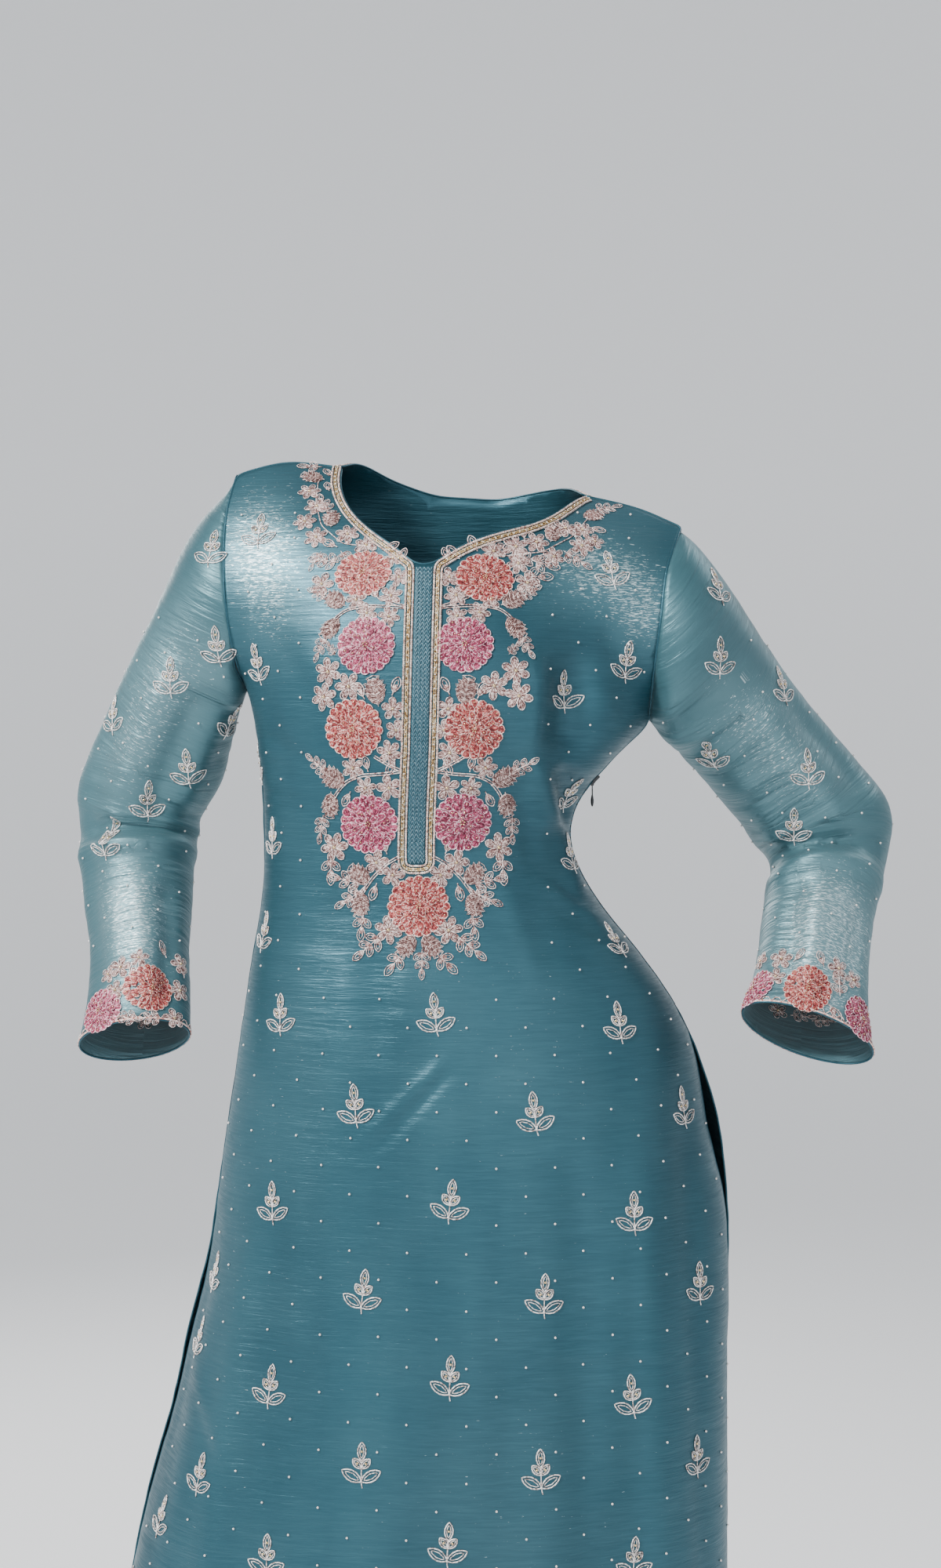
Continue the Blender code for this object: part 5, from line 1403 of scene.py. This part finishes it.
def pearlRows(cloth, view):
    places = []
    for row in range(int((pearls["top"] - pearls["end"]) / pearls["down"]) + 1):
        z = pearls["top"] - pearls["down"] * row
        line = [met[0] for met in (cast(cloth, view, x, z) for x in range(-348, 380, 4)) if met]
        if len(line) < 4:
            continue
        lengths = runningLengths(line)
        middle = min(range(len(line)), key=lambda n: abs(line[n].x + 0.020))
        for k in range(-14, 15):
            want = lengths[middle] + (k + 0.5 * (row % 2)) * pearls["across"] * mm
            if pearls["edgeGap"] * mm < want < lengths[-1] - pearls["edgeGap"] * mm:
                n = max(i for i in range(len(line) - 1) if lengths[i] <= want)
                places.append(line[n].lerp(line[n + 1], (want - lengths[n]) / (lengths[n + 1] - lengths[n])))
    return [spot for spot in places if isClear(spot, view)]


def sewPearls(cloth, spots, lift, name):
    spots = [lifted(cloth, spot, lift * mm) for spot in spots]
    finishPiece(placeCopies(bead(pearls["radius"] * mm, pearl), spots, name))


# place on a sleeve at a distance down the arm and a turn round it
def armPlace(side, distance, turn):
    points, lengths = sleeves[side]["points"], sleeves[side]["lengths"]
    k = max(n for n in range(len(points) - 1) if lengths[n] <= distance)
    run = points[k + 1] - points[k]
    middle = points[k] + run * ((distance - lengths[k]) / run.length)
    ahead, across = armFrame(run)
    way = ahead * math.cos(2 * math.pi * turn) + across * math.sin(2 * math.pi * turn)
    return sleeves[side]["cloth"]["tree"].ray_cast(middle + way * 0.13, -way, 0.13)[0]


# none lie in the zari work
def besideWork(spot):
    return spot.z < pearls["workEnd"] * mm or abs(spot.x / mm - tableAt(centreLine, spot.z / mm)) > pearls["workSide"]


sewPearls(front, filter(besideWork, pearlRows(front, "front")), pearls["bodyLift"], "pearlsFront")
sewPearls(back, pearlRows(back, "back"), pearls["bodyLift"], "pearlsBack")
for side in ("right", "left"):
    spots = []
    for row in range(int((sleeves[side]["lengths"][-1] / mm - pearls["cuffGap"]) / pearls["down"])):
        for column in range(pearls["round"]):
            distance = (pearls["topGap"] + row * pearls["down"]) * mm
            place = armPlace(side, distance, (column + 0.5 * (row % 2)) / pearls["round"])
            if place is not None and isClear(place, side):
                spots.append(place)
    sewPearls(sleeves[side]["cloth"], spots, pearls["sleeveLift"], f"pearlsSleeve{side.title()}")
print("pearls sewn")

# cuffs: flowers, filling and a scalloped edge
cuffs = {  # kind, x, z, turn, size
    "right": (("coral", -255, -421, 0, 0.80, 0.82), ("pink", -296, -440, 0, 0.76, 0.80),
              ("five", -281, -405, 0, 0.85), ("five", -284, -423, 0, 0.75), ("bud", -278, -451, 15, 0.75),
              ("five", -291, -411, 0, 0.7), ("leaf", -272, -410, 20, 1.0), ("spray", -266, -445, -80, 0.72),
              ("spray", -247, -445, -85, 0.72), ("five", -236, -446, 0, 0.8), ("five", -234, -425, 0, 0.85),
              ("leaf", -232, -413, 20, 1.0), ("five", -235, -404, 0, 0.8), ("five", -266, -397, 0, 0.7),
              ("leaf", -247, -396, -10, 1.0), ("five", -268, -455, 0, 0.7)),
    "left": (("coral", 282, -421, 0, 0.80, 0.84), ("pink", 326, -447, 6, 0.66, 0.82),
             ("pink", 241, -424, 0, 0.62, 0.80), ("five", 264, -399, 0, 0.85), ("five", 249, -402, 0, 0.75),
             ("five", 258, -413, 0, 0.75), ("leaf", 275, -399, 30, 0.9), ("bud", 252, -438, 10, 0.70),
             ("five", 309, -406, 0, 0.85), ("spray", 309, -426, 12, 0.85), ("five", 266, -446, 0, 0.8),
             ("spray", 279, -450, 95, 0.72), ("spray", 297, -455, 100, 0.72), ("leaf", 300, -436, 150, 1.1),
             ("five", 322, -416, 0, 0.7), ("leaf", 296, -402, -10, 0.9)),
}
hiddenCuffs = {
    "right": (("coral", -288, -424, 0, 0.80, 0.80), ("pink", -250, -414, 0, 0.80, 0.80),
              ("flower", -270, -404, 0, 0.8), ("leaf", -300, -402, -20, 0.9), ("flower", -268, -436, 0, 0.8)),
    "left": (("coral", 300, -424, 0, 0.80, 0.80), ("pink", 262, -410, 0, 0.80, 0.80),
             ("flower", 284, -402, 0, 0.8), ("leaf", 312, -402, 20, 0.9), ("flower", 280, -434, 0, 0.8)),
}
cuffScale = 1.32
scallop = {"width": 7.5, "rise": 4.6, "inset": 0.7, "cord": 0.85, "thread": 0.5, "edgeLift": 0.6, "lift": 0.7}


def lowestEdge(cloth):
    rim = min(cloth["edges"], key=lambda loop: sum(p.z for p in loop) / len(loop))
    return rim + [rim[0]]


for side in ("right", "left"):
    cloth = sleeves[side]["cloth"]
    laid = []
    for view, work in (("front", cuffs[side]), ("back", hiddenCuffs[side])):
        laid += layAll(cloth, view, [(kind, x, z, turn, *(size if len(size) > 1 else (size[0] * cuffScale,)))
                                     for kind, x, z, turn, *size in work])
    rim = evenly(lowestEdge(cloth), 1.2 * mm)
    edge = besideEdge(cloth, rim, scallop["inset"] * mm)
    upper = besideEdge(cloth, rim, (scallop["inset"] + scallop["rise"]) * mm)
    edge = [place + nearest(cloth, place)[1] * scallop["edgeLift"] * mm for place in edge]
    each = max(3, round(scallop["width"] * mm / (edge[1] - edge[0]).length))
    arcs = [lifted(cloth, low.lerp(high, math.sin(math.pi * (n % each) / each)), scallop["lift"] * mm)
            for n, (low, high) in enumerate(zip(edge, upper))]
    laid += [threads([(edge, True)], scallop["cord"] * mm, coralEdge),
             threads([(arcs, True)], scallop["thread"] * mm, zari)]
    finishPiece(joinAll(laid, f"cuffWork{side.title()}"))
print("cuffs worked")

# seams and turned edges
seams = {"roll": 0.9, "sink": 0.35, "hemUp": 13, "legHemUp": 20, "hemLine": -1.100, "thread": 0.28,
         "stitch": 2.6, "gap": 1.2, "stitchLifts": (0.12, 0.27, 0.12)}
for cloth, name, slot in (
    (front, "kameezFront", "body_silk"), (back, "kameezBack", "body_silk"),
    (sleeves["right"]["cloth"], "sleeveRight", "sleeve_organza"),
    (sleeves["left"]["cloth"], "sleeveLeft", "sleeve_organza"),
    (legs["right"]["cloth"], "salwarLegRight", "salwar_silk"),
    (legs["left"]["cloth"], "salwarLegLeft", "salwar_silk"),
):
    rolls = []
    for loop in cloth["edges"]:
        line = eased(evenly(loop + [loop[0]], 3 * mm), 1)
        rolls.append(([place - nearest(cloth, place)[1] * seams["sink"] * mm for place in line], True))
    finishPiece(threads(rolls, seams["roll"] * mm, silk, 1, f"{name}TurnedEdge"))


# running stitches at an inset from an edge
def stitchRow(cloth, line, inset):
    step = (seams["stitch"] + seams["gap"]) * mm
    row = evenly(besideEdge(cloth, line, inset * mm), step)
    result = []
    for a, b in zip(row, row[1:]):
        if (b - a).length < 3 * step:
            end = a.lerp(b, seams["stitch"] * mm / step)
            result.append(([lifted(cloth, place, lift * mm)
                            for place, lift in zip((a, a.lerp(end, 0.5), end), seams["stitchLifts"])], False))
    return result


hemLines = []
for cloth in (front, back):
    for loop in cloth["edges"]:
        low = [p for p in evenly(loop + [loop[0]], 3 * mm) if p.z < seams["hemLine"]]
        if len(low) > 3:
            hemLines += stitchRow(cloth, sorted(low, key=lambda p: p.x), seams["hemUp"])
for side in ("right", "left"):
    cloth = legs[side]["cloth"]
    hemLines += stitchRow(cloth, lowestEdge(cloth), seams["legHemUp"])
finishPiece(threads(hemLines, seams["thread"] * mm, hemThread, 0, "hemStitches"))
print("seams sewn")

# side zip: tape and teeth down the left seam, below the slider
sideZip = {"top": -256, "end": -440, "step": 2.4, "size": (1.7, 0.9, 1.2), "bevel": 0.25, "aside": 0.5,
           "proud": 0.2, "tape": 0.8}
seamLine = sorted((p for p in max(front["edges"], key=len)
                   if sideZip["end"] * mm < p.z < sideZip["top"] * mm and p.x > 0.04), key=lambda p: -p.z)
seamLine = eased(evenly(seamLine, 3 * mm), 3)
deselectAll()
bpy.ops.mesh.primitive_cube_add(size=1)
tooth = bpy.context.object
for point in tooth.data.vertices:
    point.co = [value * side * mm for value, side in zip(point.co, sideZip["size"])]
applyModifier(tooth, "BEVEL", width=sideZip["bevel"] * mm, segments=1)
tooth.data.materials.append(blackMetal)
teeth = []
fine = evenly(seamLine, sideZip["step"] * mm)
for n, place in enumerate(fine):
    ahead = aheadAt(fine, n).normalized()
    facing = (nearest(front, place)[1] + nearest(back, place)[1]).normalized()
    across = ahead.cross(facing).normalized()
    facing = across.cross(ahead).normalized()
    place = place + facing * sideZip["proud"] * mm + across * sideZip["aside"] * mm * (1 if n % 2 else -1)
    mesh = tooth.data.copy()
    mesh.transform(Matrix.Translation(place) @ Matrix((across, facing, ahead)).transposed().to_4x4())
    teeth.append(linkNew("tooth", mesh))
bpy.data.objects.remove(tooth)
tape = threads([(seamLine, False)], sideZip["tape"] * mm, ribbonCloth, 1)
finishPiece(joinAll(teeth + [tape], "zipTeeth"))
for name in ("zip_slider", "zip_pull"):
    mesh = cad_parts[name].data
    mesh.materials.clear()
    mesh.materials.append(blackMetal)
# the drop that thickens the pull's free end
pullDrop = {"radii": (1.4, 2.0, 5.9), "up": 5.6, "taper": (0.2, 1.1, 0.45)}
deselectAll()
bpy.ops.mesh.primitive_uv_sphere_add(segments=12, ring_count=8, radius=1)
drop = bpy.context.object
drop.name = "zipPullDrop"
pull = [point.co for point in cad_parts["zip_pull"].data.vertices]
low, high = (Vector([pick(place[n] for place in pull) for n in range(3)]) for pick in (min, max))
wide, deep, tall = (radius * mm for radius in pullDrop["radii"])
start, reach, least = pullDrop["taper"]
for point in drop.data.vertices:
    x, y, z = point.co
    narrow = 1 - least * smoothStep((z + start) / reach)
    point.co = ((low.x + high.x) / 2 + x * wide * narrow, (low.y + high.y) / 2 + y * deep * narrow,
                low.z + pullDrop["up"] * mm + z * tall)
drop.data.update()
drop.data.materials.append(blackMetal)
bpy.ops.object.shade_smooth()
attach(drop, "zip_pull")
print("zip made")

# what each sheet was cut to
sheets = {  # flat width and length, its area, held, rests on: metres
    "front": (front["piece"], (0.68, 1.16), 0.62, "hung", ["kameez_back"], "kameez_front", "body_silk"),
    "back": (back["piece"], (0.69, 1.16), 0.64, "hung", ["kameez_front"], "kameez_back", "body_silk"),
    "sleeveRight": (sleeves["right"]["cloth"]["piece"], (0.38, 0.54), 0.145, "hung", ["kameez_front", "kameez_back"],
                    ("sleeve_right_upper", "sleeve_right_lower"), "sleeve_organza"),
    "sleeveLeft": (sleeves["left"]["cloth"]["piece"], (0.40, 0.53), 0.160, "hung", ["kameez_front", "kameez_back"],
                   ("sleeve_left_upper", "sleeve_left_lower"), "sleeve_organza"),
    "legRight": (legs["right"]["cloth"]["piece"], (0.61, 1.00), 0.51, "hung", ["salwar_waistband"],
                 "salwar_leg_right", "salwar_silk"),
    "legLeft": (legs["left"]["cloth"]["piece"], (0.61, 1.00), 0.53, "hung", ["salwar_waistband"], "salwar_leg_left",
                "salwar_silk"),
    "belt": (belt["piece"], (0.94, 0.04), 0.0376, "stretched", ["salwar_leg_right", "salwar_leg_left"],
             "salwar_waistband", "salwar_silk"),
}
for piece, flat, area, held, restsOn, nodes, slot in sheets.values():
    finishPiece(piece, [nodes] if isinstance(nodes, str) else nodes)
for model in motifs.values():
    bpy.data.objects.remove(model)

# floor, backdrop, light and camera
studio = {"floor": -1.42, "across": 18.0, "rise": 8.0, "bend": 2.5}
deselectAll()
bpy.ops.mesh.primitive_circle_add(vertices=96, radius=studio["across"] / 2, fill_type="NGON")
sweep = bpy.context.object
sweep.name = "studioFloor"  # a round floor whose rim curves up, so every side has the same pale ground
sweep.data.transform(Matrix.Translation((0, 0, studio["floor"])))
bpy.ops.object.mode_set(mode="EDIT")
bpy.ops.mesh.select_mode(type="EDGE")
bpy.ops.mesh.select_all(action="SELECT")
bpy.ops.mesh.region_to_loop()
bpy.ops.mesh.extrude_edges_move(TRANSFORM_OT_translate={"value": (0, 0, studio["rise"])})
bpy.ops.mesh.select_all(action="SELECT")
bpy.ops.mesh.normals_make_consistent(inside=True)
bpy.ops.object.mode_set(mode="OBJECT")
applyModifier(sweep, "BEVEL", width=studio["bend"], segments=10, affect="EDGES", limit_method="ANGLE",
              angle_limit=math.radians(60))
if sweep.data.polygons[0].normal.z < 0:
    sweep.data.flip_normals()
bpy.ops.object.shade_smooth()
paper = newMaterial("paleFloor", (0.80, 0.81, 0.82), 0.9, 0.0, Emission_Color=(0.95, 0.97, 1.0, 1),
                    Emission_Strength=0.26)
sweep.data.materials.append(paper)

lights = {  # place, aim, size, power, colour
    "keyLight": ((-1.8, -1.6, 1.6), (0.0, 0.0, -0.30), 0.6, 150, (1.0, 0.975, 0.95)),
    "fillLight": ((0.6, -2.9, 0.0), (0.0, 0.0, -0.45), 2.2, 15, (0.95, 0.98, 1.0)),
    "rimLight": ((1.6, 1.0, 1.3), (0.0, 0.0, -0.35), 1.2, 18, (0.97, 0.98, 1.0)),
    "backLight": ((-1.0, 2.6, 0.9), (0.0, 0.0, -0.50), 1.6, 46, (1.0, 0.99, 0.97)),
}
for name, (place, aim, size, power, colour) in lights.items():
    deselectAll()
    bpy.ops.object.light_add(type="AREA", location=place)
    lamp = bpy.context.object
    lamp.name = name
    lamp.rotation_euler = (Vector(aim) - Vector(place)).to_track_quat("-Z", "Y").to_euler()
    lamp.data.size = size
    lamp.data.energy = power
    lamp.data.color = colour
world = bpy.data.worlds.new("studioAir")
world.use_nodes = True
world.node_tree.nodes["Background"].inputs["Color"].default_value = (0.92, 0.95, 1.0, 1)
world.node_tree.nodes["Background"].inputs["Strength"].default_value = 0.36
bpy.context.scene.world = world

view = {"place": (0.0066, -2.0, -0.254), "lens": 54.5, "sensor": 36, "farthest": 30}
deselectAll()
bpy.ops.object.camera_add(location=view["place"], rotation=(math.pi / 2, 0, 0))
camera = bpy.context.object
camera.name = "camera"
camera.data.lens = view["lens"]
camera.data.sensor_width = view["sensor"]
camera.data.clip_end = view["farthest"]
bpy.context.scene.camera = camera

print("scene ready")
